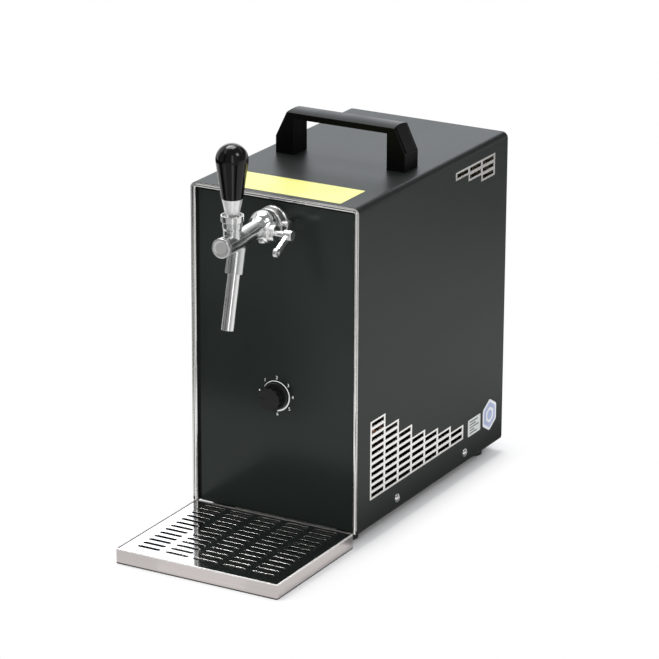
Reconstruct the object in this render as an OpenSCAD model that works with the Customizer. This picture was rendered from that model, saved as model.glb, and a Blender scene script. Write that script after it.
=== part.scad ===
// Counter-top draft beer dispenser: a dry cooler in a sheet metal casing, one tap and a loose drip tray.
// Lengths are in millimetres. Z is up, the front faces -Y and everything stands on z = 0.
// Depths are counted from the plane of the front rim, and "out" is the distance in front of that plane.

/* [Casing] */
// Width of the casing over its film
casing_w = 172; // [158:1:184]
// Depth of the casing from the front rim to the rear panel
casing_d = 287; // [284:1:310]
// Height of the casing above its feet
casing_h = 305; // [302:1:320]
// Outer radius of the two upper edges
casing_r = 6; // [5.5:0.5:9]
// Thickness of the sheet metal
sheet_t = 1; // [0.8:0.1:1.2]
// Thickness of the dark film on the cover
film_t = 0.3; // [0.2:0.1:0.4]
// Bare line that the film leaves along the lower edge
film_hem = 2; // [1:0.5:4]
// Height of the rubber feet
foot_h = 13; // [12:1:16]
// Diameter of a rubber foot
foot_dia = 22; // [18:1:24]

/* [Front] */
// Width of the polished front rim
trim_w = 3.4; // [3:0.2:3.8]
// Depth of the polished front rim
trim_d = 5; // [4.6:0.2:6]
// Depth of the front plate behind the face of the rim
plate_recess = 4; // [3:0.2:4.4]
// Height of the thermostat's axis above the feet
dial_h = 116; // [110:1:122]
// Diameter of the thermostat knob over its skirt
dial_dia = 25; // [22:1:30]
// Length of the thermostat knob
dial_l = 12.4; // [11:0.2:15]

/* [Vents] */
// Length of a vent slot
slot_l = 22.5; // [18:0.5:23]
// Height of a vent slot
slot_h = 3.9; // [3:0.1:4.4]
// Steel left between two columns of slots
slot_bar = 3.2; // [2.8:0.2:3.6]
// Pitch of the slots up a column
slot_pitch = 6.75; // [6.25:0.25:7]

/* [Carry handle] */
// Width of the handle over its feet
handle_w = 134; // [130:1:140]
// Height of the handle above the casing
handle_h = 41; // [38:1:46]
// Depth of the handle
handle_d = 24.5; // [22:0.5:28]
// Front of the handle behind the front rim
handle_back = 118.5; // [112:0.5:125]
// Thickness of the grip
grip_t = 7; // [6:0.5:9]

/* [Tap] */
// Height from the tap's axis up to the top of the casing
tap_drop = 25; // [22:0.5:28]
// Lever axis in front of the front rim
lever_out = 70.5; // [70:0.5:76]
// Length of the spout tube
spout_l = 62.4; // [50:0.2:80]
// Forward lean of the spout
spout_lean = 13.5; // [8:0.5:16]
// Outer radius of the spout tube
spout_r = 5.8; // [5.2:0.1:6]
// Height of the black knob on the lever
knob_h = 48.8; // [44:0.2:56]
// Outer radius of the black knob near its top
knob_r = 14.4; // [13:0.1:16]
// Length of the compensator lever
comp_arm_l = 23; // [20:0.5:30]

/* [Drip tray] */
// Distance of the tray's sides inside the casing's sides
tray_inset = 3; // [1:0.5:6]
// Front edge of the tray in front of the front rim
tray_out = 136; // [130:1:145]
// Height of the tray
tray_h = 14; // [13:0.5:18]
// Length of a slot in the grate
grate_slot_l = 23; // [18:0.5:25]
// Width of a slot in the grate
grate_slot_w = 4; // [3:0.2:5]

/* [Rear] */
// Length of the beer inlet behind the rear panel
inlet_out = 14; // [12:0.5:18]
// Radius of the beer line
line_r = 4; // [3.5:0.1:4.2]

/* [Hidden] */
$fn = 64;
// Overcut of a hole past the face that it opens in
over = 0.5;
// Gap between pieces that are put together by hand
fit = 0.2;
// Radial gap of a shaft or a pipe in its bore
run_fit = 0.05;

// Levels and widths of the casing
half_w = casing_w / 2;
z_top = foot_h + casing_h;
floor_z = foot_h + sheet_t;
inner = film_t + sheet_t;
liner = inner + fit;
wall_x = half_w - liner - sheet_t;
panel_back = trim_d + sheet_t;
rear_face = casing_d - sheet_t;
pan_w = casing_w - 2 * liner;
pan_d = rear_face - panel_back;
front_y = (tray_out - casing_d - inlet_out) / 2;
plate_gap = 0.15;
cover_front = 0.4;
trim_inset = inner + plate_gap;
plate_reveal = 2;
least_r = 1;

// Flanges of the base pan and of the panels
flange_h = 17;
flange_gap = 2;
flange_z = foot_h + flange_h + flange_gap;
flange_d = 12;

// Vent columns, counted from the front, and where their fields begin
low_counts = [11, 9, 7, 5, 4, 3, 2];
high_counts = [1, 2, 3];
column_pitch = slot_l + slot_bar;
slot_margin = 2.1;
low_front = 24;
low_lift = 24.4;
low_z = foot_h + low_lift;
high_reach = 105;
high_front = casing_d - high_reach;
high_drop = 13.5;
high_z = z_top - high_drop;

// Pan-head screws
screw_r = 2;
screw_l = 9;
head_r = 4.2;
head_h = 2.2;
cross_l = 4.6;
cross_w = 1;
screw_lift = 10;
screw_z = foot_h + screw_lift;
screw_front = 75.6;
screw_rear = 77.5;
screw_depths = [screw_front, casing_d - screw_rear];
rear_screw_inset = 16;
rear_screw_x = half_w - rear_screw_inset;
loose_fit = 0.15;

// Rubber feet
foot_inset = 21;
foot_x = half_w - foot_inset;
foot_depths = [foot_inset, casing_d - foot_inset];
foot_taper = 1.5;
stem_r = 3;
barb_r = 4.4;
barb_h = 4;
barb_tip = 2;

// Carry handle
handle_mid = handle_back + handle_d / 2;
handle_shoulder = 16;
handle_lean = 12;
handle_leg = 18.7;
grip_crown = 52;
cap_t = 1.2;
cap_proud = 0.6;
cap_margin = 3;
cap_start = 1.5;
slant_l = norm([handle_lean, handle_h - handle_shoulder]);
slant_a = atan2(handle_lean, handle_h - handle_shoulder);
cap_l = slant_l - 2 * cap_start;
handle_screw_x = handle_w / 2 - handle_leg / 2;
handle_screw_r = 2.5;
handle_screw_l = 12;
handle_head_r = 4.5;
handle_head_h = 3;
handle_bore_l = 14;

// Drip tray and grate
tray_w = casing_w - 2 * tray_inset;
tray_gap = 0.3;
tray_wall = 1.2;
tray_floor = 1;
tray_r = 2;
ledge_w = 4;
ledge_t = 1;
grate_t = 1.2;
grate_drop = 0.4;
grate_gap = 0.3;
grate_z = tray_h - grate_drop - grate_t;
grate_columns = 5;
grate_rows = 13;
grate_front = 16.7;
grate_rear = 8.9;
grate_bar = 6.1;
grate_pitch_x = grate_slot_l + grate_bar;
grate_pitch_y = (tray_out - grate_front - grate_rear) / (grate_rows - 1);

// Stations along the tap, in front of the rim
tap_z = z_top - tap_drop;
flange_out = 3;
nut_wall_out = 5.5;
nut_lip_out = 9.5;
nut_out = 11.5;
dome_gap = 1;
dome_out = 18.5;
comp_out = 21.9;
seat_rear = 46;
seat_front = 50;
outlet_back = 10.2;
outlet_out = lever_out - outlet_back;
barrel_back = 11;
barrel_rear = lever_out - barrel_back;
barrel_nose = 15.4;
barrel_front = lever_out + barrel_nose;
cap_t_front = 4.4;
cap_out = barrel_front + cap_t_front;
cap_spigot = 3;

// Radii of the tap
rosette_r = 15.4;
shank_r = 8;
shank_bore = 5;
shank_l = 34;
shank_nut_af = 24;
shank_nut_l = 8;
nut_r = 15;
lug_l = 5.4;
lug_w = 3.6;
lug_rise = 1.5;
collar_r = 12;
waist_r = 10.5;
dome_r = 12.9;
core_r = 7.3;
arm_r = 8.3;
arm_lift = 3;
arm_lap = 1;
lift_a = atan2(arm_lift, barrel_rear - dome_out);
flare_r = 22;
flare_sink = 0.1;
flare_shift = 0.6;
flare_reach = sqrt(pow(dome_r + flare_r, 2) - pow(arm_r + flare_r, 2));
flare_out = dome_out + flare_reach - flare_shift;
flare_share = dome_r / (dome_r + flare_r);
flare_from = dome_out + flare_reach * flare_share - flare_shift;
flare_top = (arm_r + flare_r) * flare_share;
barrel_r = 8.8;
valve_bore = 5.5;
cap_spigot_r = valve_bore - run_fit;
seat_bore = 4;
chamber_r = 6.2;

// Lever and the neck that holds its ball
neck_r = 8;
neck_top_r = 8.7;
neck_h = 19;
neck_head = 4.8;
neck_cone = 2.2;
neck_top_z = tap_z + neck_h;
neck_cone_z = neck_top_z - neck_head;
neck_waist_z = neck_cone_z - neck_cone;
pivot_lift = 0.6;
pivot_z = neck_top_z + pivot_lift;
ball_r = 6.7;
ball_seat_r = 7;
finger_r = 2;
finger_tip_r = 2.4;
finger_slot = 3.2;
finger_slot_l = 9.5;
finger_slot_h = 7.2;
ring_r = 10;
ring_groove_r = 8.9;
ring_groove_h = 0.8;
ring_h = 6.2;
ring_inner_h = 3.8;
ring_lip_h = 0.6;
ring_lip_r = 6.3;
ring_cup_r = 9.3;
cap_recess_r = 6.4;
stem_top_r = 4;
ferrule_lift = 7.4;
ferrule_z = neck_top_z + ferrule_lift;
ferrule_h = 14;
ferrule_r = [6.2, 9.3];
knob_z = ferrule_z + ferrule_h;
stem_in_knob = 14;
knob_foot_r = 9.6;
knob_shoulder = 2.4;
knob_ball_z = knob_z + knob_h - knob_r;
stem_top_z = knob_z + stem_in_knob;

// Valve stem
guide_gap = 0.08;
guide_r = valve_bore - guide_gap;
guide_rear = barrel_rear;
guide_nose = 9;
guide_front = lever_out + guide_nose;
guide_flat = 2;
guide_land = 3;
stem_slot = 2.7;
stem_slot_front = 4.9;
stem_slot_rear = 2.9;
rod_r = 3;
rod_root = 1;
seal_r = 5.4;
seal_t = 3;
seal_gap = 0.3;
washer_r = 4.2;
washer_t = 1;
seal_front = seat_rear - seal_gap;
seal_rear = seal_front - seal_t;

// Flow compensator
comp_drop = 2;
comp_z = tap_z - comp_drop;
boss_r = 8.4;
comp_left = -9.5;
comp_right = 10.2;
comp_shaft_r = 2.6;
gland_r = 10;
gland_lap = 3;
gland_l = 8.4;
gland_step = 0.8;
gland_nose_r = 7.6;
gland_bevel = 0.8;
face_gap = 0.1;
gland_wall = 1.8;
gland_x = comp_right - gland_lap;
gland_end = gland_x + gland_l;
drum_r = 5.6;
drum_gap = 0.4;
drum_x = chamber_r + drum_gap;
drum_end = gland_end - gland_wall - fit;
hub_r = 4.6;
hub_gap = 8.8;
hub_x = gland_end + hub_gap;
hub_l = 7.8;
hub_face = 1;
arm_step = 1.6;
arm_x = hub_x + arm_step;
arm_t = 3.6;
arm_w = 5.6;
eye_r = 4;
eye_hole = 1.5;
arm_tilt = 27;
pin_r = 1.2;
pin_throw = 4.2;
pin_x = 3.2;
pin_root = 0.5;
pin_room = 0.3;
cone_r = 5.8;
cone_tip_r = 3;
cone_rear = 13;
cone_shoulder = 25;
cone_front = 29;
slot_turn = 45;
slot_low = comp_z + pin_throw * cos(slot_turn) - pin_r - pin_room;
slot_high = comp_z + pin_throw + pin_r + pin_room;
plug_x = 1.8;
plug_r = 2.4;
plug_head_r = 3.8;
plug_sink = 0.5;
plug_seat = comp_z - boss_r + plug_sink;
plug_head_h = 2.3;
plug_l = 3.4;

// Spout holder, measured along the spout from the tap's axis
holder_wall = 2.6;
holder_r = spout_r + holder_wall;
holder_start = 6;
holder_end = 29.6;
outlet_bore = 4.6;
socket_start = 17;
spout_wall = 1;

// Thermostat
dial_z = foot_h + dial_h;
dial_r = dial_dia / 2;
dial_gap = 0.8;
dial_rear = plate_recess - dial_gap;
skirt_l = 3.4;
skirt_lip = 1.5;
grip_r = dial_r - skirt_lip;
flutes = 12;
flute_r = 1.6;
mark_w = 1.2;
mark_depth = 0.6;
mark_start = 4;
mark_angle = 172;
bush_r = 5;
bush_out = 1;
bush_root = 1;
thermo_w = 38;
thermo_h = 34;
thermo_d = 26;
dial_shaft_r = 3;
dial_shaft_in = 18;
dial_face = 3;
dial_shaft_out = dial_l - dial_rear - dial_face;
dial_bore_gap = 0.5;

// Cold side: block, insulation and shelf
block_w = 92;
block_d = 60;
block_h = 112;
insul_t = 18;
insul_front = 44;
lid_t = 10;
block_rise = 9;
block_top = tap_z + block_rise;
block_front = insul_front + insul_t;
block_rear = block_front + block_d;
insul_rear = block_rear + insul_t;
block_low = block_top - block_h;
shelf_z = block_low - insul_t;
shelf_lip = 12;
port_l = 12;
port_gap = 2;
port_clear = 0.3;
beer_x = -30;
beer_drop = 28;
beer_z = tap_z - beer_drop;
cold_drop = 78;
cold_z = tap_z - cold_drop;
suction_x = 30;
suction_drop = 58;
suction_z = tap_z - suction_drop;
line_flange_r = 7.5;
line_flange_t = 3;

// Beer inlet at the rear
fitting_r = 9;
fitting_flange_r = 12;
fitting_flange_t = 3;
fitting_thread_r = 7.5;
fitting_in = 17;
fitting_bore_l = 16;
fitting_socket_l = 6;
fitting_way_r = 2.5;
fitting_nut_af = 22;
fitting_nut_l = 6;

// Warm side: condenser, fan and compressor
cond_front = 36;
cond_d = 22;
cond_side = 29;
cond_w = casing_w - 2 * cond_side;
cond_h = 80;
cond_lift = 8;
cond_plate = 1.5;
fin_t = 0.6;
fin_pitch = 6;
tube_r = 4;
tube_rows = 5;
tube_pitch = 16;
tube_out = 5;
tube_end = cond_w / 2 + tube_out;
tube_v = cond_front + cond_d / 2;
tube_lift = 16;
tube_low = floor_z + tube_lift;
tube_high = tube_low + (tube_rows - 1) * tube_pitch;
fan_lift = 48;
fan_z = floor_z + fan_lift;
shroud_gap = 4;
shroud_v = cond_front + cond_d + shroud_gap;
shroud_t = 2;
shroud_lap = 3;
shroud_w = cond_w + 2 * shroud_lap;
shroud_h = 96;
duct_r = 42;
duct_wall = 1.5;
duct_l = 14;
duct_end = shroud_v + shroud_t + duct_l;
motor_arms = 3;
motor_arm_w = 6;
motor_arm_t = 3;
motor_r = 17;
motor_l = 23;
motor_shaft_r = 2.5;
motor_shaft_l = 22;
rotor_hub_r = 12;
rotor_gap = 4;
rotor_v = shroud_v + rotor_gap;
rotor_l = 10;
blades = 5;
blade_r = 39;
blade_w = 20;
blade_t = 1.2;
blade_pitch = 30;
blade_root = 1.5;
shaft_gap = 1;
comp_r = 52;
comp_back = 35;
comp_v = casing_d - comp_back - comp_r;
comp_plate_w = 100;
comp_plate_d = 92;
comp_plate_t = 3;
comp_inset = 8;
comp_cone_h = 9;
comp_cone_r = 44;
comp_body_h = 70;
comp_dome_h = 20;
comp_dome_r = (comp_r * comp_r + comp_dome_h * comp_dome_h) / (2 * comp_dome_h);
grommet_r = 9;
grommet_h = 14;
grommet_pin_r = 3;
grommet_pin_gap = 1;
comp_plate_z = floor_z + grommet_h;
comp_body_z = comp_plate_z + comp_plate_t + comp_cone_h;
comp_top_z = comp_body_z + comp_body_h;
stub_r = 6;
stub_out = 6;
stub_x = comp_r + stub_out;
stub_rise = 10;
stub_top = comp_top_z + comp_dome_h + stub_rise;
stub_bore_l = 10;
pipe_r = 3;
pipe_bend = 10;
suction_bend = 14;
pipe_inset = 10;
pipe_x = half_w - pipe_inset;
drier_inset = 16;
drier_x = drier_inset - half_w;
drier_r = 9;
drier_front = 110;
drier_l = 55;
drier_cone = 6;
drier_neck_r = 4;
drier_bend = 6;
riser_run = 13;
riser_v = drier_front + drier_l + riser_run;

// Mains inlet and switch
power_inset = 41;
power_x = half_w - power_inset;
mains_lift = 34;
mains_z = floor_z + mains_lift;
mains_bezel = [30.8, 24];
mains_body = [27, 20];
mains_recess = [24.4, 17];
mains_bezel_t = 2.5;
mains_depth = 22;
mains_recess_l = 16;
recess_floor = casing_d + mains_bezel_t - mains_recess_l;
blade_size = [2, 4];
blade_l = 13;
blade_in = 1;
blade_x = 7;
blade_drop = 2;
blade_rise = 4;
switch_lift = 66;
switch_z = floor_z + switch_lift;
switch_bezel = [23, 16];
switch_body_size = [20, 13.4];
switch_well = [17.2, 11.4];
switch_bezel_t = 1.5;
switch_depth = 21;
switch_well_l = 11;
rocker_w = 16.4;
rocker_h = 9.2;
rocker_keel = 5;
rocker_face = 5.5;
rocker_dip = 1.3;
rocker_tilt = 8;
rocker_pin_r = 1;
rocker_pin_l = 18.4;
rocker_in = 3;
rocker_v = casing_d - rocker_in;

// Rear louvres
louvre_w = 52;
louvre_inset = 52;
louvre_x = half_w - louvre_inset;
louvre_h = 4;
louvre_pitch = 10;
louvre_rows = 12;
louvre_lift = 102;
louvre_low = foot_h + louvre_lift;

// Moves depths counted from the front rim into the frame of the part
module in_place() translate([0, front_y, 0]) children();

// Pulls a flat shape, drawn in width and height, along the depth
module along_depth(v, length)
    translate([0, v + length, 0]) rotate([90, 0, 0]) linear_extrude(length) children();

// Turns a shape so that its own Z axis points to the front and its Y axis up
module facing_front(out, z) translate([0, -out, z]) rotate([90, 0, 0]) children();

// Turns a shape so that its own Z axis points out of the right side
module facing_right(x, v, z) translate([x, v, z]) rotate([0, 90, 0]) children();

// Turns a shape so that its own Z axis points to the rear and its X axis stays
module facing_rear(x, v, z) translate([x, v, z]) rotate([-90, 0, 0]) children();

// Runs down along the spout from the axis of the tap
module along_spout(s) translate([0, -outlet_out, tap_z]) rotate([180 - spout_lean, 0, 0])
    translate([0, 0, s]) children();

module both_sides() {
    children();
    mirror([1, 0, 0]) children();
}

// Flat door-shaped outline with two round upper corners
module arch(w, h, r) {
    translate([-w / 2, 0]) square([w, h - r]);
    translate([r - w / 2, h - r]) square([w - 2 * r, r]);
    for (side = [-1, 1]) translate([side * (w / 2 - r), h - r]) circle(r);
}

module outline(inset, drop = 0)
    translate([0, foot_h - drop])
        arch(casing_w - 2 * inset, casing_h - inset + drop, max(casing_r - inset, least_r));

// Bent strip between two insets of the outline, from a given height upwards
module hoop(outer_inset, inner_inset, from_z) difference() {
    outline(outer_inset);
    outline(inner_inset, over);
    translate([-casing_w, 0]) square([2 * casing_w, from_z]);
}

module round_rect(w, d, r) {
    square([w - 2 * r, d], center = true);
    square([w, d - 2 * r], center = true);
    for (i = [-1, 1], j = [-1, 1]) translate([i * (w / 2 - r), j * (d / 2 - r)]) circle(r);
}

module slot_2d(l, w) {
    square([l - w, w], center = true);
    for (side = [-1, 1]) translate([side * (l - w) / 2, 0]) circle(w / 2);
}

// Pan-head screw along Z: the head above zero, the shank below
module pan_screw(r, l) difference() {
    union() {
        translate([0, 0, -l]) cylinder(h = l + head_h / 2, r = r);
        intersection() {
            translate([0, 0, head_h - dome_radius(head_r, head_h)]) sphere(dome_radius(head_r, head_h));
            cylinder(h = head_h, r = head_r);
        }
    }
    for (turn = [0, 90]) rotate(turn)
        translate([-cross_l / 2, -cross_w / 2, head_h / 2]) cube([cross_l, cross_w, head_h]);
}

// Radius of a sphere whose cap has a given radius and height
function dome_radius(r, h) = (r * r + h * h) / (2 * h);

module casing_screw_places() for (v = screw_depths) both_sides() facing_right(half_w, v, screw_z) children();

module casing_screw_holes(gap) casing_screw_places()
    translate([0, 0, -2 * screw_l]) cylinder(h = 3 * screw_l, r = screw_r + gap);

module rear_screw_places() both_sides() facing_rear(rear_screw_x, casing_d, screw_z) children();

module rear_screw_holes(gap) rear_screw_places()
    translate([0, 0, -screw_l]) cylinder(h = 2 * screw_l, r = screw_r + gap);

module handle_screw_places() both_sides() translate([handle_screw_x, handle_mid, 0]) children();

module handle_screw_holes() handle_screw_places()
    translate([0, 0, z_top - casing_r]) cylinder(h = 2 * casing_r, r = handle_screw_r + fit);

// Height of the field that n slots fill
function field_h(n) = n * slot_pitch - (slot_pitch - slot_h) + 2 * slot_margin;

// One column of slots cut through both side walls
module vent_column(n, v, z) for (j = [0 : n - 1])
    translate([-casing_w, v + slot_bar, z + slot_margin + j * slot_pitch])
        cube([2 * casing_w, slot_l, slot_h]);

module vent_window(n, v, z)
    translate([-casing_w, v, z]) cube([2 * casing_w, column_pitch + slot_bar, field_h(n)]);

module vents() {
    for (i = [0 : len(low_counts) - 1]) vent_column(low_counts[i], low_front + i * column_pitch, low_z);
    for (i = [0 : len(high_counts) - 1])
        vent_column(high_counts[i], high_front + i * column_pitch, high_z - field_h(high_counts[i]));
}

module vent_windows() {
    for (i = [0 : len(low_counts) - 1]) vent_window(low_counts[i], low_front + i * column_pitch, low_z);
    for (i = [0 : len(high_counts) - 1])
        vent_window(high_counts[i], high_front + i * column_pitch, high_z - field_h(high_counts[i]));
}

// Casing

module casing_cover() color("silver") in_place() difference() {
    along_depth(cover_front, casing_d - cover_front) hoop(film_t, inner, foot_h);
    vents();
    casing_screw_holes(loose_fit);
    handle_screw_holes();
}

module casing_film() color("dimgray") in_place() difference() {
    along_depth(cover_front, casing_d - cover_front) hoop(0, film_t, foot_h + film_hem);
    vent_windows();
    casing_screw_holes(loose_fit);
    handle_screw_holes();
}

// Section of the rim: a round nose in front of a square back
module trim_section() {
    translate([trim_w / 2, trim_w / 2]) circle(trim_w / 2);
    translate([0, trim_w / 2]) square([trim_w, trim_d - trim_w / 2]);
}

module front_trim() color("gainsboro") in_place() {
    side_x = half_w - trim_inset;
    top_z = z_top - trim_inset;
    bend = casing_r - trim_inset;
    both_sides() translate([-side_x, 0, foot_h]) linear_extrude(top_z - bend - foot_h) trim_section();
    translate([bend - side_x, 0, top_z]) rotate([0, 90, 0])
        linear_extrude(2 * (side_x - bend)) trim_section();
    both_sides() translate([side_x - bend, 0, top_z - bend]) rotate([-90, 0, 0]) rotate(-90)
        rotate_extrude(angle = 90) translate([bend, 0]) mirror([1, 0]) trim_section();
}

module front_plate() color("black") in_place() difference() {
    along_depth(plate_recess, trim_d - plate_recess) outline(trim_inset + trim_w + plate_reveal);
    facing_front(-2 * trim_d, tap_z) cylinder(h = 2 * trim_d, r = shank_r + fit);
    facing_front(-2 * trim_d, dial_z) cylinder(h = 2 * trim_d, r = bush_r + fit);
}

module front_panel() color("lightgray") in_place() difference() {
    union() {
        along_depth(trim_d, sheet_t) outline(liner);
        along_depth(trim_d, flange_d) hoop(liner, liner + sheet_t, flange_z);
    }
    facing_front(-2 * trim_d, tap_z) cylinder(h = 2 * trim_d, r = shank_r + fit);
    facing_front(-2 * trim_d, dial_z) cylinder(h = 2 * trim_d, r = bush_r + fit);
}

module base_pan() color("lightgray") in_place() difference() {
    union() {
        translate([-pan_w / 2, panel_back, foot_h]) cube([pan_w, pan_d, sheet_t]);
        both_sides() translate([wall_x, panel_back, foot_h]) cube([sheet_t, pan_d, flange_h]);
        translate([-pan_w / 2, rear_face - sheet_t, foot_h]) cube([pan_w, sheet_t, flange_h]);
    }
    casing_screw_holes(run_fit);
    rear_screw_holes(run_fit);
    foot_places() cylinder(h = foot_h + 2 * sheet_t, r = stem_r + run_fit);
}

module rear_panel() color("lightgray") in_place() difference() {
    union() {
        along_depth(rear_face, sheet_t) outline(liner);
        along_depth(casing_d - flange_d, flange_d) hoop(liner, liner + sheet_t, flange_z);
    }
    for (side = [-1, 1], row = [0 : louvre_rows - 1])
        along_depth(rear_face - sheet_t, 3 * sheet_t)
            translate([side * louvre_x, louvre_low + row * louvre_pitch]) slot_2d(louvre_w, louvre_h);
    rear_screw_holes(loose_fit);
    facing_rear(beer_x, rear_face - sheet_t, beer_z) cylinder(h = 3 * sheet_t, r = fitting_thread_r + fit);
    rear_box(mains_z, mains_body + [2 * fit, 2 * fit], rear_face - sheet_t, 3 * sheet_t);
    rear_box(switch_z, switch_body_size + [2 * fit, 2 * fit], rear_face - sheet_t, 3 * sheet_t);
}

module casing_screws() color("silver") in_place() casing_screw_places() pan_screw(screw_r, screw_l);

module rear_screws() color("silver") in_place() rear_screw_places() pan_screw(screw_r, screw_l);

module foot_places() for (v = foot_depths) both_sides() translate([foot_x, v, 0]) children();

module rubber_feet() color("black") in_place() foot_places() {
    cylinder(h = foot_h, r1 = foot_dia / 2 - foot_taper, r2 = foot_dia / 2);
    cylinder(h = floor_z + fit + barb_h / 2, r = stem_r);
    translate([0, 0, floor_z + fit]) cylinder(h = barb_h, r1 = barb_r, r2 = barb_tip);
}

// Carry handle

// Moves onto the slanted right end of the handle: X points out of it, Z runs up along it
module on_slant() translate([handle_w / 2, handle_mid, z_top + handle_shoulder])
    rotate([0, -slant_a, 0]) children();

module cap_plate(gap) translate([-cap_t, cap_margin - handle_d / 2 - gap, cap_start - gap])
    cube([cap_t + cap_proud, handle_d - 2 * cap_margin + 2 * gap, cap_l + 2 * gap]);

module handle_profile() {
    outer = handle_w / 2;
    crest = outer - handle_lean;
    leg = outer - handle_leg;
    polygon([
        [-outer, 0], [-outer, handle_shoulder], [-crest, handle_h], [crest, handle_h],
        [outer, handle_shoulder], [outer, 0], [leg, 0], [leg, handle_h - grip_t],
        [-leg, handle_h - grip_t], [-leg, 0]
    ]);
}

module carry_handle() color("black") in_place() difference() {
    intersection() {
        translate([0, 0, z_top]) along_depth(handle_back, handle_d) handle_profile();
        facing_right(-handle_w, handle_mid, z_top + handle_h - grip_crown)
            cylinder(h = 2 * handle_w, r = grip_crown);
    }
    both_sides() on_slant() cap_plate(plate_gap);
    handle_screw_places()
        translate([0, 0, z_top - over]) cylinder(h = handle_bore_l + over, r = handle_screw_r + run_fit);
}

module handle_caps() color("dimgray") in_place() both_sides() on_slant() cap_plate(0);

module handle_screws() color("silver") in_place() handle_screw_places() translate([0, 0, z_top - inner]) {
    cylinder(h = inner + handle_screw_l, r = handle_screw_r);
    translate([0, 0, -handle_head_h]) cylinder(h = handle_head_h, r = handle_head_r);
}

// Drip tray

module tray_area(inset) translate([0, -(tray_out + tray_gap) / 2])
    round_rect(tray_w - 2 * inset, tray_out - tray_gap - 2 * inset, max(tray_r - inset, 1));

module drip_tray() color("lightgray") in_place() difference() {
    linear_extrude(tray_h) tray_area(0);
    translate([0, 0, tray_floor]) linear_extrude(grate_z - ledge_t - fit - tray_floor) tray_area(tray_wall);
    translate([0, 0, tray_floor]) linear_extrude(tray_h) tray_area(tray_wall + ledge_w);
    translate([0, 0, grate_z - fit]) linear_extrude(tray_h) tray_area(tray_wall);
}

module grate_outline() difference() {
    tray_area(tray_wall + grate_gap);
    for (i = [0 : grate_columns - 1], j = [0 : grate_rows - 1])
        translate([(i - (grate_columns - 1) / 2) * grate_pitch_x, grate_front - tray_out + j * grate_pitch_y])
            slot_2d(grate_slot_l, grate_slot_w);
}

module drip_grate() color("silver") in_place()
    translate([0, 0, grate_z]) linear_extrude(grate_t) grate_outline();

// Tap

module tap_flange() color("silver") in_place() difference() {
    union() {
        facing_front(-plate_recess, tap_z) cylinder(h = plate_recess + flange_out / 2, r = rosette_r);
        facing_front(flange_out / 2, tap_z)
            cylinder(h = flange_out / 2, r1 = rosette_r, r2 = rosette_r - flange_out / 2);
    }
    facing_front(-trim_d, tap_z) cylinder(h = 2 * trim_d, r = shank_r + run_fit);
}

module tap_shank() color("silver") in_place() facing_front(-shank_l, tap_z) difference() {
    cylinder(h = shank_l + nut_wall_out - run_fit, r = shank_r);
    translate([0, 0, -over]) cylinder(h = shank_l + nut_wall_out + 2 * over, r = shank_bore);
}

module shank_nut() color("silver") in_place() facing_front(-panel_back - shank_nut_l, tap_z) difference() {
    cylinder(h = shank_nut_l, r = shank_nut_af / sqrt(3), $fn = 6);
    translate([0, 0, -over]) cylinder(h = shank_nut_l + 2 * over, r = shank_r + run_fit);
}

module coupling_nut() color("silver") in_place() facing_front(flange_out, tap_z) difference() {
    union() {
        cylinder(h = nut_out - flange_out, r = nut_r);
        translate([nut_r - lug_w / 2, lug_rise, lug_w / 3])
            cube([lug_l + lug_w / 2, lug_w, nut_out - flange_out - 2 * lug_w / 3]);
    }
    translate([0, 0, -over]) cylinder(h = nut_out, r = shank_r + run_fit);
    translate([0, 0, nut_wall_out - flange_out])
        cylinder(h = nut_lip_out - nut_wall_out, r = collar_r + run_fit);
    translate([0, 0, nut_wall_out - flange_out]) cylinder(h = nut_out, r = waist_r + run_fit);
}

// Straight or tapered stretch of the tap between two stations
module stretch(from, to, r1, r2) facing_front(from, tap_z) cylinder(h = to - from, r1 = r1, r2 = r2);

// Leans the arm so that its rear end lies above the axis of the tap
module swan_neck() translate([0, -barrel_rear, tap_z]) rotate([lift_a, 0, 0])
    translate([0, barrel_rear, -tap_z]) children();

// Hollow curve that carries the round rear of the tap over into its arm
module arm_flare() facing_front(0, tap_z) rotate_extrude() difference() {
    translate([0, flare_from]) square([flare_top, flare_out - flare_from]);
    translate([arm_r + flare_r - flare_sink, flare_out]) circle(flare_r);
}

module tap_outside() {
    stretch(nut_wall_out, nut_lip_out - fit, collar_r, collar_r);
    difference() {
        union() {
            intersection() {
                swan_neck() facing_front(dome_out, tap_z) sphere(dome_r);
                stretch(nut_out + dome_gap, 2 * dome_out, 2 * dome_r, 2 * dome_r);
            }
            stretch(nut_wall_out, dome_out, waist_r, waist_r);
            swan_neck() arm_flare();
            swan_neck() stretch(dome_out, barrel_rear + arm_lap, arm_r, arm_r);
            stretch(dome_out, barrel_rear, core_r, core_r);
        }
        facing_right(gland_x, -comp_out, comp_z) cylinder(h = dome_r, r = gland_r + face_gap);
    }
    facing_right(comp_left, -comp_out, comp_z) cylinder(h = comp_right - comp_left, r = boss_r);
    stretch(barrel_rear, barrel_front, barrel_r, barrel_r);
    translate([0, -lever_out, 0]) {
        translate([0, 0, tap_z]) cylinder(h = neck_waist_z - tap_z, r = neck_r);
        translate([0, 0, neck_waist_z])
            cylinder(h = neck_cone_z - neck_waist_z, r1 = neck_r, r2 = neck_top_r);
        translate([0, 0, neck_cone_z]) cylinder(h = neck_top_z - neck_cone_z, r = neck_top_r);
    }
    along_spout(holder_start) cylinder(h = holder_end - holder_start, r = holder_r);
}

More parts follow.
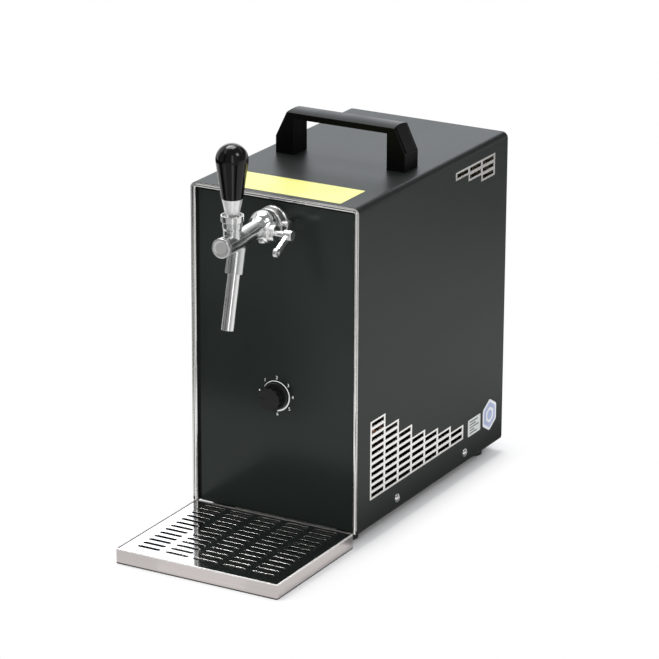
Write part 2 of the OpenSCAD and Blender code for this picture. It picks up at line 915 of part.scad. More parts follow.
module tap_inside() {
    stretch(nut_wall_out - over, seat_rear, chamber_r, chamber_r);
    stretch(seat_rear - over, seat_front + over, seat_bore, seat_bore);
    stretch(seat_front, barrel_front + over, valve_bore, valve_bore);
    translate([-finger_slot, -lever_out - finger_slot_l, tap_z])
        cube([2 * finger_slot, 2 * finger_slot_l, finger_slot_h]);
    translate([0, -lever_out, tap_z + finger_slot_h - over])
        cylinder(h = neck_top_z - tap_z, r = ball_seat_r);
    facing_right(0, -comp_out, comp_z) cylinder(h = 2 * comp_right, r = drum_r + run_fit);
    translate([plug_x, -comp_out, plug_seat - plug_head_h])
        cylinder(h = plug_head_h, r = plug_head_r + face_gap);
    translate([plug_x, -comp_out, plug_seat - over]) cylinder(h = tap_z - plug_seat, r = plug_r + run_fit);
    along_spout(0) cylinder(h = holder_end, r = outlet_bore);
    along_spout(socket_start) cylinder(h = holder_end, r = spout_r + run_fit);
}

module tap_body() color("silver") in_place() difference() {
    tap_outside();
    tap_inside();
}

module tap_front_cap() color("silver") in_place() difference() {
    union() {
        stretch(barrel_front, cap_out, barrel_r, barrel_r);
        stretch(barrel_front - cap_spigot, barrel_front + cap_spigot, cap_spigot_r, cap_spigot_r);
    }
    stretch(cap_out - ring_groove_h, cap_out + over, cap_recess_r, cap_recess_r);
}

module collar_nut() color("silver") in_place() translate([0, -lever_out, neck_top_z]) difference() {
    union() {
        cylinder(h = ring_groove_h, r = ring_groove_r);
        translate([0, 0, ring_groove_h]) cylinder(h = ring_h - ring_groove_h, r = ring_r);
    }
    translate([0, 0, -over]) cylinder(h = ring_inner_h + over, r = ball_seat_r);
    cylinder(h = ring_h, r = ring_lip_r);
    translate([0, 0, ring_inner_h + ring_lip_h]) cylinder(h = ring_h, r = ring_cup_r);
}

module lever_stem() color("silver") in_place() translate([0, -lever_out, 0]) {
    translate([0, 0, pivot_z]) sphere(ball_r);
    translate([0, 0, pivot_z]) cylinder(h = stem_top_z - pivot_z, r = stem_top_r);
    translate([0, 0, tap_z]) cylinder(h = pivot_z - tap_z, r = finger_r);
    translate([0, 0, tap_z]) sphere(finger_tip_r);
}

module lever_ferrule() color("silver") in_place() translate([0, -lever_out, ferrule_z]) difference() {
    cylinder(h = ferrule_h, r1 = ferrule_r[0], r2 = ferrule_r[1]);
    translate([0, 0, -over]) cylinder(h = ferrule_h + 2 * over, r = stem_top_r + run_fit);
}

module tap_handle() color("black") in_place() translate([0, -lever_out, 0]) difference() {
    union() {
        translate([0, 0, knob_z]) cylinder(
            h = knob_ball_z - knob_shoulder - knob_z,
            r1 = knob_foot_r,
            r2 = sqrt(knob_r * knob_r - knob_shoulder * knob_shoulder)
        );
        intersection() {
            translate([0, 0, knob_ball_z]) sphere(knob_r);
            translate([0, 0, knob_ball_z - knob_shoulder]) cylinder(h = 2 * knob_r, r = 2 * knob_r);
        }
    }
    translate([0, 0, knob_z - over]) cylinder(h = stem_top_z - knob_z + 2 * over, r = stem_top_r + run_fit);
}

module valve_stem() color("silver") in_place() difference() {
    union() {
        stretch(guide_rear, guide_front, guide_r, guide_r);
        stretch(seal_rear - washer_t, guide_rear + rod_root, rod_r, rod_r);
        stretch(seal_rear - washer_t, seal_rear, washer_r, washer_r);
    }
    translate([-stem_slot, -lever_out - stem_slot_front, tap_z - guide_r])
        cube([2 * stem_slot, stem_slot_front + stem_slot_rear, 2 * guide_r]);
    translate([-guide_r, guide_land - guide_front, tap_z - guide_flat - guide_r])
        cube([2 * guide_r, guide_front, guide_r - over]);
}

module valve_seal() color("black") in_place() difference() {
    stretch(seal_rear, seal_front, seal_r, seal_r);
    stretch(seal_rear - over, seal_front + over, rod_r + run_fit, rod_r + run_fit);
}

module spout() color("silver") in_place() difference() {
    along_spout(socket_start + fit) cylinder(h = spout_l, r = spout_r);
    along_spout(socket_start) cylinder(h = spout_l + 2 * over, r = spout_r - spout_wall);
}

// Flow compensator

// Cap that is screwed over the boss and holds the drum in it
module compensator_gland() color("silver") in_place()
    facing_right(gland_x, -comp_out, comp_z) difference() {
        union() {
            cylinder(h = gland_lap + gland_step, r = gland_r);
            cylinder(h = gland_l - gland_bevel, r = gland_nose_r);
            translate([0, 0, gland_l - gland_bevel])
                cylinder(h = gland_bevel, r1 = gland_nose_r, r2 = gland_nose_r - gland_bevel);
        }
        translate([0, 0, -over]) cylinder(h = gland_lap + over, r = boss_r + run_fit);
        translate([0, 0, -over]) cylinder(h = gland_l - gland_wall + over, r = drum_r + run_fit);
        translate([0, 0, -over]) cylinder(h = gland_l + 2 * over, r = comp_shaft_r + run_fit);
    }

// Drum with a pin off its centre, which shifts the cone when the lever turns
module compensator_shaft() color("silver") in_place() {
    facing_right(drum_x, -comp_out, comp_z) cylinder(h = drum_end - drum_x, r = drum_r);
    facing_right(drum_end - pin_root, -comp_out, comp_z)
        cylinder(h = hub_x + hub_l - hub_face - drum_end + pin_root, r = comp_shaft_r);
    facing_right(pin_x, -comp_out, comp_z + pin_throw)
        cylinder(h = drum_x + pin_root - pin_x, r = pin_r);
}

// Drawn with its own X along the arm, then turned forward and down
module compensator_lever() color("silver") in_place()
    translate([0, -comp_out, comp_z]) rotate([arm_tilt, 0, 0]) rotate([90, 0, 90]) difference() {
        union() {
            translate([0, 0, hub_x]) cylinder(h = hub_l, r = hub_r);
            translate([-comp_arm_l, -arm_w / 2, arm_x]) cube([comp_arm_l, arm_w, arm_t]);
            translate([-comp_arm_l, 0, arm_x]) cylinder(h = arm_t, r = eye_r);
        }
        translate([0, 0, hub_x - over])
            cylinder(h = hub_l - hub_face + over + run_fit, r = comp_shaft_r + run_fit);
        translate([-comp_arm_l, 0, arm_x - over]) cylinder(h = arm_t + 2 * over, r = eye_hole);
    }

module compensator_cone() color("whitesmoke") in_place() difference() {
    union() {
        stretch(cone_rear, cone_shoulder, cone_r, cone_r);
        stretch(cone_shoulder, cone_front, cone_r, cone_tip_r);
    }
    translate([pin_x - pin_room, -comp_out - pin_r - pin_room, slot_low])
        cube([cone_r, 2 * (pin_r + pin_room), slot_high - slot_low]);
}

module compensator_plug() color("silver") in_place()
    translate([plug_x, -comp_out, plug_seat - plug_head_h]) {
        cylinder(h = plug_head_h, r = plug_head_r);
        cylinder(h = plug_head_h + plug_l, r = plug_r);
    }

// Thermostat

module thermostat_body() color("ivory") in_place() difference() {
    union() {
        translate([-thermo_w / 2, panel_back, dial_z - thermo_h / 2]) cube([thermo_w, thermo_d, thermo_h]);
        facing_front(-panel_back - bush_root, dial_z)
            cylinder(h = panel_back + bush_root + bush_out, r = bush_r);
    }
    facing_front(-dial_shaft_in - dial_bore_gap, dial_z)
        cylinder(h = 2 * thermo_d, r = dial_shaft_r + run_fit);
}

module thermostat_shaft() color("silver") in_place()
    facing_front(-dial_shaft_in, dial_z) cylinder(h = dial_shaft_in + dial_shaft_out, r = dial_shaft_r);

module thermostat_knob() color("black") in_place() facing_front(-dial_rear, dial_z) difference() {
    union() {
        cylinder(h = skirt_l, r = dial_r);
        cylinder(h = dial_l, r = grip_r);
    }
    for (i = [0 : flutes - 1]) rotate(mark_angle + (i + 0.5) * 360 / flutes)
        translate([grip_r + flute_r / 2, 0, skirt_l]) cylinder(h = dial_l, r = flute_r);
    rotate(mark_angle) translate([mark_start, -mark_w / 2, dial_l - mark_depth])
        cube([dial_r, mark_w, 2 * mark_depth]);
    translate([0, 0, -over]) cylinder(h = over + dial_rear + bush_out + dial_gap, r = bush_r + dial_gap);
    translate([0, 0, -over])
        cylinder(h = over + dial_rear + dial_shaft_out + run_fit, r = dial_shaft_r + run_fit);
}

// Cold side

// Places a shape at each pipe port in the rear of the cooling block, with Z pointing to the rear
module rear_ports(v) {
    facing_rear(beer_x, v, beer_z) children(0);
    facing_rear(beer_x, v, cold_z) children(1);
    facing_rear(suction_x, v, suction_z) children(0);
}

module insulation_box() color("moccasin") in_place() difference() {
    translate([-block_w / 2 - insul_t, insul_front, shelf_z])
        cube([block_w + 2 * insul_t, insul_rear - insul_front, block_top - shelf_z]);
    translate([-block_w / 2 - plate_gap, block_front - plate_gap, block_low])
        cube([block_w + 2 * plate_gap, block_d + 2 * plate_gap, block_h + over]);
    facing_front(-block_front - over, tap_z) cylinder(h = 2 * insul_t, r = line_r + port_clear);
    rear_ports(block_rear - over) {
        cylinder(h = 2 * insul_t, r = line_r + port_clear);
        cylinder(h = 2 * insul_t, r = pipe_r + port_clear);
    }
}

module insulation_lid() color("moccasin") in_place()
    translate([-block_w / 2 - insul_t, insul_front, block_top])
        cube([block_w + 2 * insul_t, insul_rear - insul_front, lid_t]);

module cooling_block() color("lightgray") in_place() difference() {
    translate([-block_w / 2, block_front, block_low]) cube([block_w, block_d, block_h]);
    facing_front(-block_front - port_l, tap_z) cylinder(h = 2 * port_l, r = line_r + run_fit);
    rear_ports(block_rear - port_l) {
        cylinder(h = 2 * port_l, r = line_r + run_fit);
        cylinder(h = 2 * port_l, r = pipe_r + run_fit);
    }
}

module block_shelf() color("lightgray") in_place() {
    span = half_w - inner - fit;
    translate([-span, insul_front, shelf_z - sheet_t]) cube([2 * span, insul_rear - insul_front, sheet_t]);
    both_sides() translate([span - sheet_t, insul_front, shelf_z - shelf_lip])
        cube([sheet_t, insul_rear - insul_front, shelf_lip]);
}

module beer_outlet_line() color("peru") in_place() {
    facing_front(-block_front - port_l + port_gap, tap_z)
        cylinder(h = block_front + port_l - port_gap - shank_l, r = line_r);
    facing_front(-shank_l - line_flange_t, tap_z) cylinder(h = line_flange_t, r = line_flange_r);
}

module beer_inlet_line() color("peru") in_place()
    facing_rear(beer_x, block_rear - port_l + port_gap, beer_z)
        cylinder(h = casing_d - fitting_in + fitting_socket_l - block_rear + port_l - port_gap, r = line_r);

module inlet_fitting() color("dimgray") in_place() facing_rear(beer_x, casing_d, beer_z) difference() {
    union() {
        translate([0, 0, -fitting_in]) cylinder(h = fitting_in, r = fitting_thread_r);
        cylinder(h = fitting_flange_t, r = fitting_flange_r);
        cylinder(h = inlet_out, r = fitting_r);
    }
    translate([0, 0, inlet_out - fitting_bore_l]) cylinder(h = fitting_bore_l + over, r = line_r + run_fit);
    translate([0, 0, -fitting_in - over]) cylinder(h = fitting_socket_l + over, r = line_r + run_fit);
    translate([0, 0, -fitting_in]) cylinder(h = fitting_in, r = fitting_way_r);
}

module inlet_nut() color("dimgray") in_place()
    facing_rear(beer_x, rear_face - fitting_nut_l, beer_z) difference() {
        cylinder(h = fitting_nut_l, r = fitting_nut_af / sqrt(3), $fn = 6);
        translate([0, 0, -over]) cylinder(h = fitting_nut_l + 2 * over, r = fitting_thread_r + run_fit);
    }

// Warm side

// Direction of a run between two points
function along(a, b) = (b - a) / norm(b - a);

// Turns Z onto a direction that is square to the axes
module pointing(at, z) {
    x = abs(z[2]) < 0.5 ? [0, 0, 1] : [1, 0, 0];
    y = cross(z, x);
    multmatrix([
        [x[0], y[0], z[0], at[0]],
        [x[1], y[1], z[1], at[1]],
        [x[2], y[2], z[2], at[2]]
    ]) children();
}

// Quarter bend round a corner, from direction a to direction b
module elbow(corner, a, b, r, bend) {
    centre = corner - a * bend + b * bend;
    z = cross(-b, a);
    multmatrix([
        [-b[0], a[0], z[0], centre[0]],
        [-b[1], a[1], z[1], centre[1]],
        [-b[2], a[2], z[2], centre[2]]
    ]) rotate_extrude(angle = 90) translate([bend, 0]) circle(r);
}

// Pipe along points whose runs are square to each other
module pipe(points, r, bend) for (i = [0 : len(points) - 2]) {
    a = along(points[i], points[i + 1]);
    trim_start = i == 0 ? 0 : bend;
    trim_end = i == len(points) - 2 ? 0 : bend;
    pointing(points[i] + a * trim_start, a)
        cylinder(h = norm(points[i + 1] - points[i]) - trim_start - trim_end, r = r);
    if (i < len(points) - 2) elbow(points[i + 1], a, along(points[i + 1], points[i + 2]), r, bend);
}

module condenser() color("silver") in_place() {
    fins = floor(cond_w / fin_pitch);
    for (i = [0 : fins - 1])
        translate([(i - (fins - 1) / 2) * fin_pitch - fin_t / 2, cond_front, floor_z + cond_lift])
            cube([fin_t, cond_d, cond_h]);
    both_sides() translate([cond_w / 2, cond_front, floor_z]) cube([cond_plate, cond_d, cond_lift + cond_h]);
    for (i = [0 : tube_rows - 1]) facing_right(-tube_end, tube_v, tube_low + i * tube_pitch)
        cylinder(h = 2 * tube_end, r = tube_r);
    for (i = [0 : tube_rows - 2]) mirror([i % 2, 0, 0])
        translate([tube_end, tube_v, tube_low + (i + 0.5) * tube_pitch]) rotate([90, 0, 0]) rotate(-90)
            rotate_extrude(angle = 180) translate([tube_pitch / 2, 0]) circle(tube_r);
}

module fan_shroud() color("dimgray") in_place() difference() {
    union() {
        translate([-shroud_w / 2, shroud_v, floor_z]) cube([shroud_w, shroud_t, shroud_h]);
        translate([-shroud_w / 2, shroud_v, floor_z]) cube([shroud_w, duct_l / 2, shroud_t]);
        facing_rear(0, shroud_v, fan_z) cylinder(h = shroud_t + duct_l, r = duct_r + duct_wall);
    }
    facing_rear(0, shroud_v - over, fan_z) cylinder(h = shroud_t + duct_l + 2 * over, r = duct_r);
}

module fan_motor() color("dimgray") in_place() facing_rear(0, duct_end, fan_z) difference() {
    union() {
        for (i = [0 : motor_arms - 1]) rotate(90 + i * 360 / motor_arms)
            translate([0, -motor_arm_w / 2, 0]) cube([duct_r + duct_wall, motor_arm_w, motor_arm_t]);
        translate([0, 0, motor_arm_t]) cylinder(h = motor_l, r = motor_r);
        cylinder(h = motor_arm_t, r = motor_shaft_r + motor_arm_w);
    }
    translate([0, 0, -over]) cylinder(h = motor_shaft_l, r = motor_shaft_r + run_fit);
}

module fan_rotor() color("gray") in_place() facing_rear(0, rotor_v, fan_z) {
    cylinder(h = rotor_l, r = rotor_hub_r);
    cylinder(h = duct_end - rotor_v + motor_shaft_l - over - shaft_gap, r = motor_shaft_r);
    for (i = [0 : blades - 1]) rotate(i * 360 / blades) translate([rotor_hub_r - blade_root, 0, rotor_l / 2])
        rotate([blade_pitch, 0, 0]) translate([0, -blade_w / 2, -blade_t / 2])
            cube([blade_r - rotor_hub_r + blade_root, blade_w, blade_t]);
}

// Places a shape at the four mounting pins of the compressor
module comp_pins() {
    step_x = comp_plate_w / 2 - comp_inset;
    step_y = comp_plate_d / 2 - comp_inset;
    for (i = [-1, 1], j = [-1, 1]) translate([i * step_x, comp_v + j * step_y, floor_z]) children();
}

module compressor() color("black") in_place() difference() {
    union() {
        comp_pins() translate([0, 0, grommet_pin_gap]) cylinder(h = grommet_h, r = grommet_pin_r);
        translate([-comp_plate_w / 2, comp_v - comp_plate_d / 2, comp_plate_z])
            cube([comp_plate_w, comp_plate_d, comp_plate_t]);
        translate([0, comp_v, comp_body_z - comp_cone_h])
            cylinder(h = comp_cone_h, r1 = comp_cone_r, r2 = comp_r);
        translate([0, comp_v, comp_body_z]) cylinder(h = comp_body_h, r = comp_r);
        intersection() {
            translate([0, comp_v, comp_top_z + comp_dome_h - comp_dome_r]) sphere(comp_dome_r);
            translate([0, comp_v, comp_top_z]) cylinder(h = comp_dome_h, r = comp_r);
        }
        facing_right(0, comp_v, tube_high) cylinder(h = stub_x, r = stub_r);
        translate([suction_x, comp_v, comp_body_z]) cylinder(h = stub_top - comp_body_z, r = stub_r);
    }
    translate([suction_x, comp_v, stub_top - stub_bore_l])
        cylinder(h = stub_bore_l + over, r = line_r + run_fit);
}

module compressor_grommets() color("dimgray") in_place() comp_pins() difference() {
    cylinder(h = grommet_h, r = grommet_r);
    translate([0, 0, -over]) cylinder(h = grommet_h + 2 * over, r = grommet_pin_r + run_fit);
}

module discharge_pipe() color("peru") in_place() pipe([
    [tube_end, tube_v, tube_high],
    [pipe_x, tube_v, tube_high],
    [pipe_x, comp_v, tube_high],
    [stub_x, comp_v, tube_high]
], pipe_r, drier_bend);

module condenser_outlet_pipe() color("peru") in_place() pipe([
    [-tube_end, tube_v, tube_low],
    [drier_x, tube_v, tube_low],
    [drier_x, drier_front, tube_low]
], pipe_r, drier_bend);

module filter_drier() color("peru") in_place() facing_rear(drier_x, drier_front, tube_low) {
    cylinder(h = drier_cone, r1 = drier_neck_r, r2 = drier_r);
    translate([0, 0, drier_cone]) cylinder(h = drier_l - 2 * drier_cone, r = drier_r);
    translate([0, 0, drier_l - drier_cone]) cylinder(h = drier_cone, r1 = drier_r, r2 = drier_neck_r);
}

module liquid_line() color("peru") in_place() pipe([
    [drier_x, drier_front + drier_l, tube_low],
    [drier_x, riser_v, tube_low],
    [drier_x, riser_v, cold_z],
    [beer_x, riser_v, cold_z],
    [beer_x, block_rear - port_l + port_gap, cold_z]
], pipe_r, pipe_bend);

module suction_pipe() color("peru") in_place() pipe([
    [suction_x, block_rear - port_l + port_gap, suction_z],
    [suction_x, comp_v, suction_z],
    [suction_x, comp_v, stub_top - stub_bore_l + port_gap]
], line_r, suction_bend);

// Mains inlet and switch

// Box in the rear panel, centred on the power column
module rear_box(z, size, v, length)
    translate([power_x - size[0] / 2, v, z - size[1] / 2]) cube([size[0], length, size[1]]);

module mains_inlet() color("black") in_place() {
    difference() {
        union() {
            rear_box(mains_z, mains_bezel, casing_d, mains_bezel_t);
            rear_box(mains_z, mains_body, casing_d - mains_depth, mains_depth);
        }
        rear_box(mains_z, mains_recess, recess_floor, mains_recess_l + over);
    }
    for (place = [[-blade_x, -blade_drop], [0, blade_rise], [blade_x, -blade_drop]])
        translate([place[0], 0, 0])
            rear_box(mains_z + place[1], blade_size, recess_floor - blade_in, blade_in + blade_l);
}

module switch_body() color("black") in_place() difference() {
    union() {
        rear_box(switch_z, switch_bezel, casing_d, switch_bezel_t);
        rear_box(switch_z, switch_body_size, casing_d - switch_depth, switch_depth);
    }
    rear_box(switch_z, switch_well, casing_d + switch_bezel_t - switch_well_l, switch_well_l + over);
    facing_right(power_x - rocker_pin_l / 2 - fit, rocker_v, switch_z)
        cylinder(h = rocker_pin_l + 2 * fit, r = rocker_pin_r + run_fit);
}

// Rocker seen from the side: X to the rear of its axis, Y up
module rocker_profile() {
    half = rocker_h / 2;
    polygon([
        [-rocker_keel, -half / 2], [-rocker_keel, half / 2], [0, half], [rocker_face, half],
        [rocker_face - rocker_dip, 0], [rocker_face, -half], [0, -half]
    ]);
}

module switch_rocker() color("firebrick") in_place() translate([power_x, rocker_v, switch_z])
    rotate([-rocker_tilt, 0, 0]) {
        translate([-rocker_w / 2, 0, 0]) rotate([90, 0, 90]) linear_extrude(rocker_w) rocker_profile();
        facing_right(-rocker_pin_l / 2, 0, 0) cylinder(h = rocker_pin_l, r = rocker_pin_r);
    }

casing_cover();
casing_film();
front_trim();
front_plate();
front_panel();
base_pan();
rear_panel();
casing_screws();
rear_screws();
rubber_feet();
carry_handle();
handle_caps();
handle_screws();
drip_tray();
drip_grate();
tap_flange();
tap_shank();
shank_nut();
coupling_nut();
tap_body();
tap_front_cap();
collar_nut();
lever_stem();
lever_ferrule();
tap_handle();
valve_stem();
valve_seal();
spout();
compensator_gland();
compensator_shaft();
compensator_lever();
compensator_cone();
compensator_plug();
thermostat_body();
thermostat_shaft();
thermostat_knob();
insulation_box();
insulation_lid();
cooling_block();
block_shelf();
beer_outlet_line();
beer_inlet_line();
inlet_fitting();
inlet_nut();
compressor();
compressor_grommets();
condenser();
fan_shroud();
fan_motor();
fan_rotor();
discharge_pipe();
condenser_outlet_pipe();
filter_drier();
liquid_line();
suction_pipe();
mains_inlet();
switch_body();
switch_rocker();
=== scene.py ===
# %% [markdown]
# # A counter-top draft beer dispenser
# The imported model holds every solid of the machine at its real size. This lesson gives those solids
# their finishes, adds the thin things that are only printed or stuck on, and sets up a plain studio.
# The frame is loaded first, because every place below is measured from it.

# %% Load the frame
import math
import bpy
import numpy as np
from mathutils import Matrix, Vector


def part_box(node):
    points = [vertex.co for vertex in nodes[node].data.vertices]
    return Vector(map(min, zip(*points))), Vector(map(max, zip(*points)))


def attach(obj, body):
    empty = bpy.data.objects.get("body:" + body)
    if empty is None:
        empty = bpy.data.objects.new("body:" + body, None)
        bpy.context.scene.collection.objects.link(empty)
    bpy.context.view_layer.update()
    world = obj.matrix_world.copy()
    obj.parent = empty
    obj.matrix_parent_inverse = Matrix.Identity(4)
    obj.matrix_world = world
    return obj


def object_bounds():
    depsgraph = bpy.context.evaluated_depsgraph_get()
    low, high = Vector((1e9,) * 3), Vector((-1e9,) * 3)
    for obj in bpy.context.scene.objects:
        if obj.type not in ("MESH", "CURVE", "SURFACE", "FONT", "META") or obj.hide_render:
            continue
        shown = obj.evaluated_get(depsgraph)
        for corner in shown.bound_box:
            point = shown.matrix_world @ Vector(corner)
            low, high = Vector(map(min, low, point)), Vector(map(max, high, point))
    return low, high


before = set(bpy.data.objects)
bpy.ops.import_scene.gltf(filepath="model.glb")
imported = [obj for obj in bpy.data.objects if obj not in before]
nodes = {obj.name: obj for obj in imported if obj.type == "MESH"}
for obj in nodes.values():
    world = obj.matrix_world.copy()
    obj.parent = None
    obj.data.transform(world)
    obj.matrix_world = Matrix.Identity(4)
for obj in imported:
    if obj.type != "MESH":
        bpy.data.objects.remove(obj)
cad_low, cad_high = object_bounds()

MM = 0.001
print("nodes:", len(nodes), "box in mm:", [round((b - a) / MM, 1) for a, b in zip(cad_low, cad_high)])

# %% [markdown]
# ## Where things are
# The front plane, the dial's axis and the faces that carry stickers are read from the solids' own boxes,
# so a changed casing carries its print along. Depths are counted from the front rim, towards the rear.

# %% Faces that the pieces sit on
rim_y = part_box("front_trim")[0].y
plate_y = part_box("front_plate")[0].y
film_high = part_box("casing_film")[1]
knob_low, knob_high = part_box("thermostat_knob")
dial_x = (knob_low.x + knob_high.x) / 2
dial_z = (knob_low.z + knob_high.z) / 2
print("front plate at", round(plate_y / MM, 2), "dial axis at height", round(dial_z / MM, 1))

# %% [markdown]
# ## The camera
# A long lens a little over three metres away gives the flat, catalogue-like view of the photograph. The
# place and the angles come from a pinhole camera that was fitted to the casing's edges.

# %% Camera
IMAGE_PX = 659
FOCAL_PX = 3475.1
SENSOR_MM = 36.0
FARTHEST = 50.0
CAMERA_AT = Vector((1479.7, -2607.9, 1196.5)) * MM
CAMERA_AZIMUTH = math.radians(29.395)
CAMERA_ELEVATION = math.radians(18.923)
CAMERA_ROLL = math.radians(0.274)


def camera_matrix():
    """Columns are the picture's right, its up and the way back from the scene, with a slight roll."""
    sin_a, cos_a = math.sin(CAMERA_AZIMUTH), math.cos(CAMERA_AZIMUTH)
    cos_e = math.cos(CAMERA_ELEVATION)
    back = Vector((sin_a * cos_e, -cos_a * cos_e, math.sin(CAMERA_ELEVATION)))
    level = Vector((cos_a, sin_a, 0.0))
    upright = back.cross(level)
    right = level * math.cos(CAMERA_ROLL) + upright * math.sin(CAMERA_ROLL)
    turn = Matrix((right, back.cross(right), back)).transposed().to_4x4()
    return Matrix.Translation(CAMERA_AT) @ turn


camera = bpy.data.objects.new("camera", bpy.data.cameras.new("camera"))
camera.data.sensor_width = SENSOR_MM
camera.data.lens = FOCAL_PX / IMAGE_PX * SENSOR_MM
camera.data.clip_end = FARTHEST
camera.matrix_world = camera_matrix()
bpy.context.collection.objects.link(camera)
bpy.context.scene.camera = camera
print("lens", round(camera.data.lens, 1), "mm")

# %% [markdown]
# ## Nodes by name
# Every finish below is a small graph of shader nodes. A few helpers keep the graphs short: they add a
# node and fill its sockets, start a material, blend colours, stretch values and tilt normals. Lengths in
# the graphs are metres.

# %% Helpers for shader graphs
SKIN_DEPTH = 0.0001
BEVEL_SAMPLES = 6


def add(tree, kind, inputs=None, **settings):
    """Adds a node; inputs maps a socket's name or number to a value or to another node's output."""
    made = tree.nodes.new(kind)
    for key, value in settings.items():
        setattr(made, key, value)
    for key, value in (inputs or {}).items():
        if isinstance(value, bpy.types.NodeSocket):
            tree.links.new(value, made.inputs[key])
        else:
            made.inputs[key].default_value = value
    return made


def maths(tree, operation, *values):
    """One operation on numbers or outputs, in the order of the node's sockets."""
    return add(tree, "ShaderNodeMath", dict(enumerate(values)), operation=operation).outputs["Value"]


def spread(tree, value, low, high):
    """Stretches a 0 to 1 value over a range."""
    inputs = {"Value": value, "To Min": low, "To Max": high}
    return add(tree, "ShaderNodeMapRange", inputs).outputs["Result"]


def between(tree, value, low, high):
    """0 where a value is at low, 1 where it is at high, in a straight line and no further."""
    inputs = {"Value": value, "From Min": low, "From Max": high}
    return add(tree, "ShaderNodeMapRange", inputs).outputs["Result"]


def object_point(tree):
    """The place on the object, in the shared frame at rest."""
    return add(tree, "ShaderNodeTexCoord").outputs["Object"]


def noise(tree, where, scale, detail, **more):
    """Cloudy noise at a place."""
    inputs = {"Vector": where, "Scale": scale, "Detail": detail, **more}
    return add(tree, "ShaderNodeTexNoise", inputs).outputs["Fac"]


print("helpers for graphs ready")


# %% Helpers for materials
def blend_colours(tree, share, low, high):
    """A colour that goes from low to high with a share from 0 to 1."""
    mix = add(tree, "ShaderNodeMix", data_type="RGBA")
    tree.links.new(share, mix.inputs["Factor"])
    for socket, colour in ((mix.inputs[6], low), (mix.inputs[7], high)):
        if isinstance(colour, bpy.types.NodeSocket):
            tree.links.new(colour, socket)
        else:
            socket.default_value = (*colour, 1.0)
    return mix.outputs[2]


def dimmed(tone, share):
    """A tone with only a share of its light."""
    return tuple(share * part for part in tone)


def softened(tree, radius):
    """The normal as if every sharp edge had been broken with a small radius."""
    return add(tree, "ShaderNodeBevel", {"Radius": radius}, samples=BEVEL_SAMPLES).outputs["Normal"]


def bumped(tree, height, strength, normal=None, depth=SKIN_DEPTH):
    """A normal tilted by a height; the tilt starts from another normal where one is given."""
    made = add(tree, "ShaderNodeBump", {"Strength": strength, "Distance": depth, "Height": height})
    if normal is not None:
        tree.links.new(normal, made.inputs["Normal"])
    return made.outputs["Normal"]


def start_material(name, **constants):
    """A material whose Principled shader has these constants on its own sockets."""
    material = bpy.data.materials.new(name)
    material.use_nodes = True
    shader = material.node_tree.nodes["Principled BSDF"]
    for key, value in constants.items():
        shader.inputs[key.replace("_", " ").title().replace("Ior", "IOR")].default_value = value
    return material, material.node_tree, shader


def wire(tree, shader, **sockets):
    """Links outputs to the shader's sockets, named with underscores."""
    for key, output in sockets.items():
        tree.links.new(output, shader.inputs[key.replace("_", " ").title()])


print("helpers for materials ready")

# %% [markdown]
# ## Shared effects
# Four effects turn up on most surfaces: a soft mottle that no two square centimetres share, long fine
# lines left by rolling or wiping, specks of dust, and rubbed edges. Each is built once as a node group
# that gives out a mask, and every finish sets its own scale.


# %% A group with one setting and a mask
def start_group(name, label, kind, value):
    """An empty shader group, with the socket of its one setting and the socket that takes its mask."""
    group = bpy.data.node_groups.new(name, "ShaderNodeTree")
    group.interface.new_socket(label, in_out="INPUT", socket_type=kind).default_value = value
    group.interface.new_socket("Mask", in_out="OUTPUT", socket_type="NodeSocketFloat")
    given, out = group.nodes.new("NodeGroupInput"), group.nodes.new("NodeGroupOutput")
    return group, given.outputs[label], out.inputs["Mask"]


def mask(tree, group, **setting):
    """Puts a group into a graph with its own setting and gives its mask."""
    made = tree.nodes.new("ShaderNodeGroup")
    made.node_tree = group
    for key, value in setting.items():
        made.inputs[key.capitalize()].default_value = value
    return made.outputs["Mask"]


print("group helpers ready")


# %% Mottle, lines, specks and rubbed edges
def make_mottle():
    """Cloudy noise on object coordinates, stretched to use the whole range from 0 to 1."""
    group, size, out = start_group("mottle", "Size", "NodeSocketFloat", 20.0)
    cloud = noise(group, object_point(group), size, 5.0)
    group.links.new(between(group, cloud, 0.3, 0.7), out)
    return group


def make_lines():
    """Noise squeezed across and drawn out along one axis: three scales, large across and small along."""
    group, scale, out = start_group("lines", "Scale", "NodeSocketVector", (900.0, 8.0, 900.0))
    drawing = {"Vector": object_point(group), "Scale": scale}
    drawn = add(group, "ShaderNodeMapping", drawing).outputs["Vector"]
    streaks = noise(group, drawn, 1.0, 4.0, Roughness=0.6)
    group.links.new(between(group, streaks, 0.25, 0.75), out)
    return group


def make_specks():
    """Small dots round the points of a Voronoi pattern, thinned out by a cloudy noise."""
    group, size, out = start_group("specks", "Size", "NodeSocketFloat", 300.0)
    where = object_point(group)
    cells = add(group, "ShaderNodeTexVoronoi", {"Vector": where, "Scale": size}).outputs["Distance"]
    dots = between(group, cells, 0.16, 0.06)
    thin = between(group, noise(group, where, 35.0, 2.0), 0.52, 0.66)
    group.links.new(maths(group, "MULTIPLY", dots, thin), out)
    return group


def make_rubbed():
    """Where a rounded normal leaves the flat one, an edge is near; a noise breaks the line up."""
    group, radius, out = start_group("rubbed", "Radius", "NodeSocketFloat", 0.0006)
    soft = softened(group, radius)
    flat = add(group, "ShaderNodeNewGeometry").outputs["True Normal"]
    turn = add(group, "ShaderNodeVectorMath", {0: soft, 1: flat}, operation="DOT_PRODUCT")
    edge = between(group, turn.outputs["Value"], 0.98, 0.8)
    broken = between(group, noise(group, object_point(group), 160.0, 3.0), 0.4, 0.6)
    group.links.new(maths(group, "MULTIPLY", edge, broken), out)
    return group


MOTTLE = make_mottle()
LINES = make_lines()
SPECKS = make_specks()
RUBBED = make_rubbed()
print("groups:", [group.name for group in (MOTTLE, LINES, SPECKS, RUBBED)])

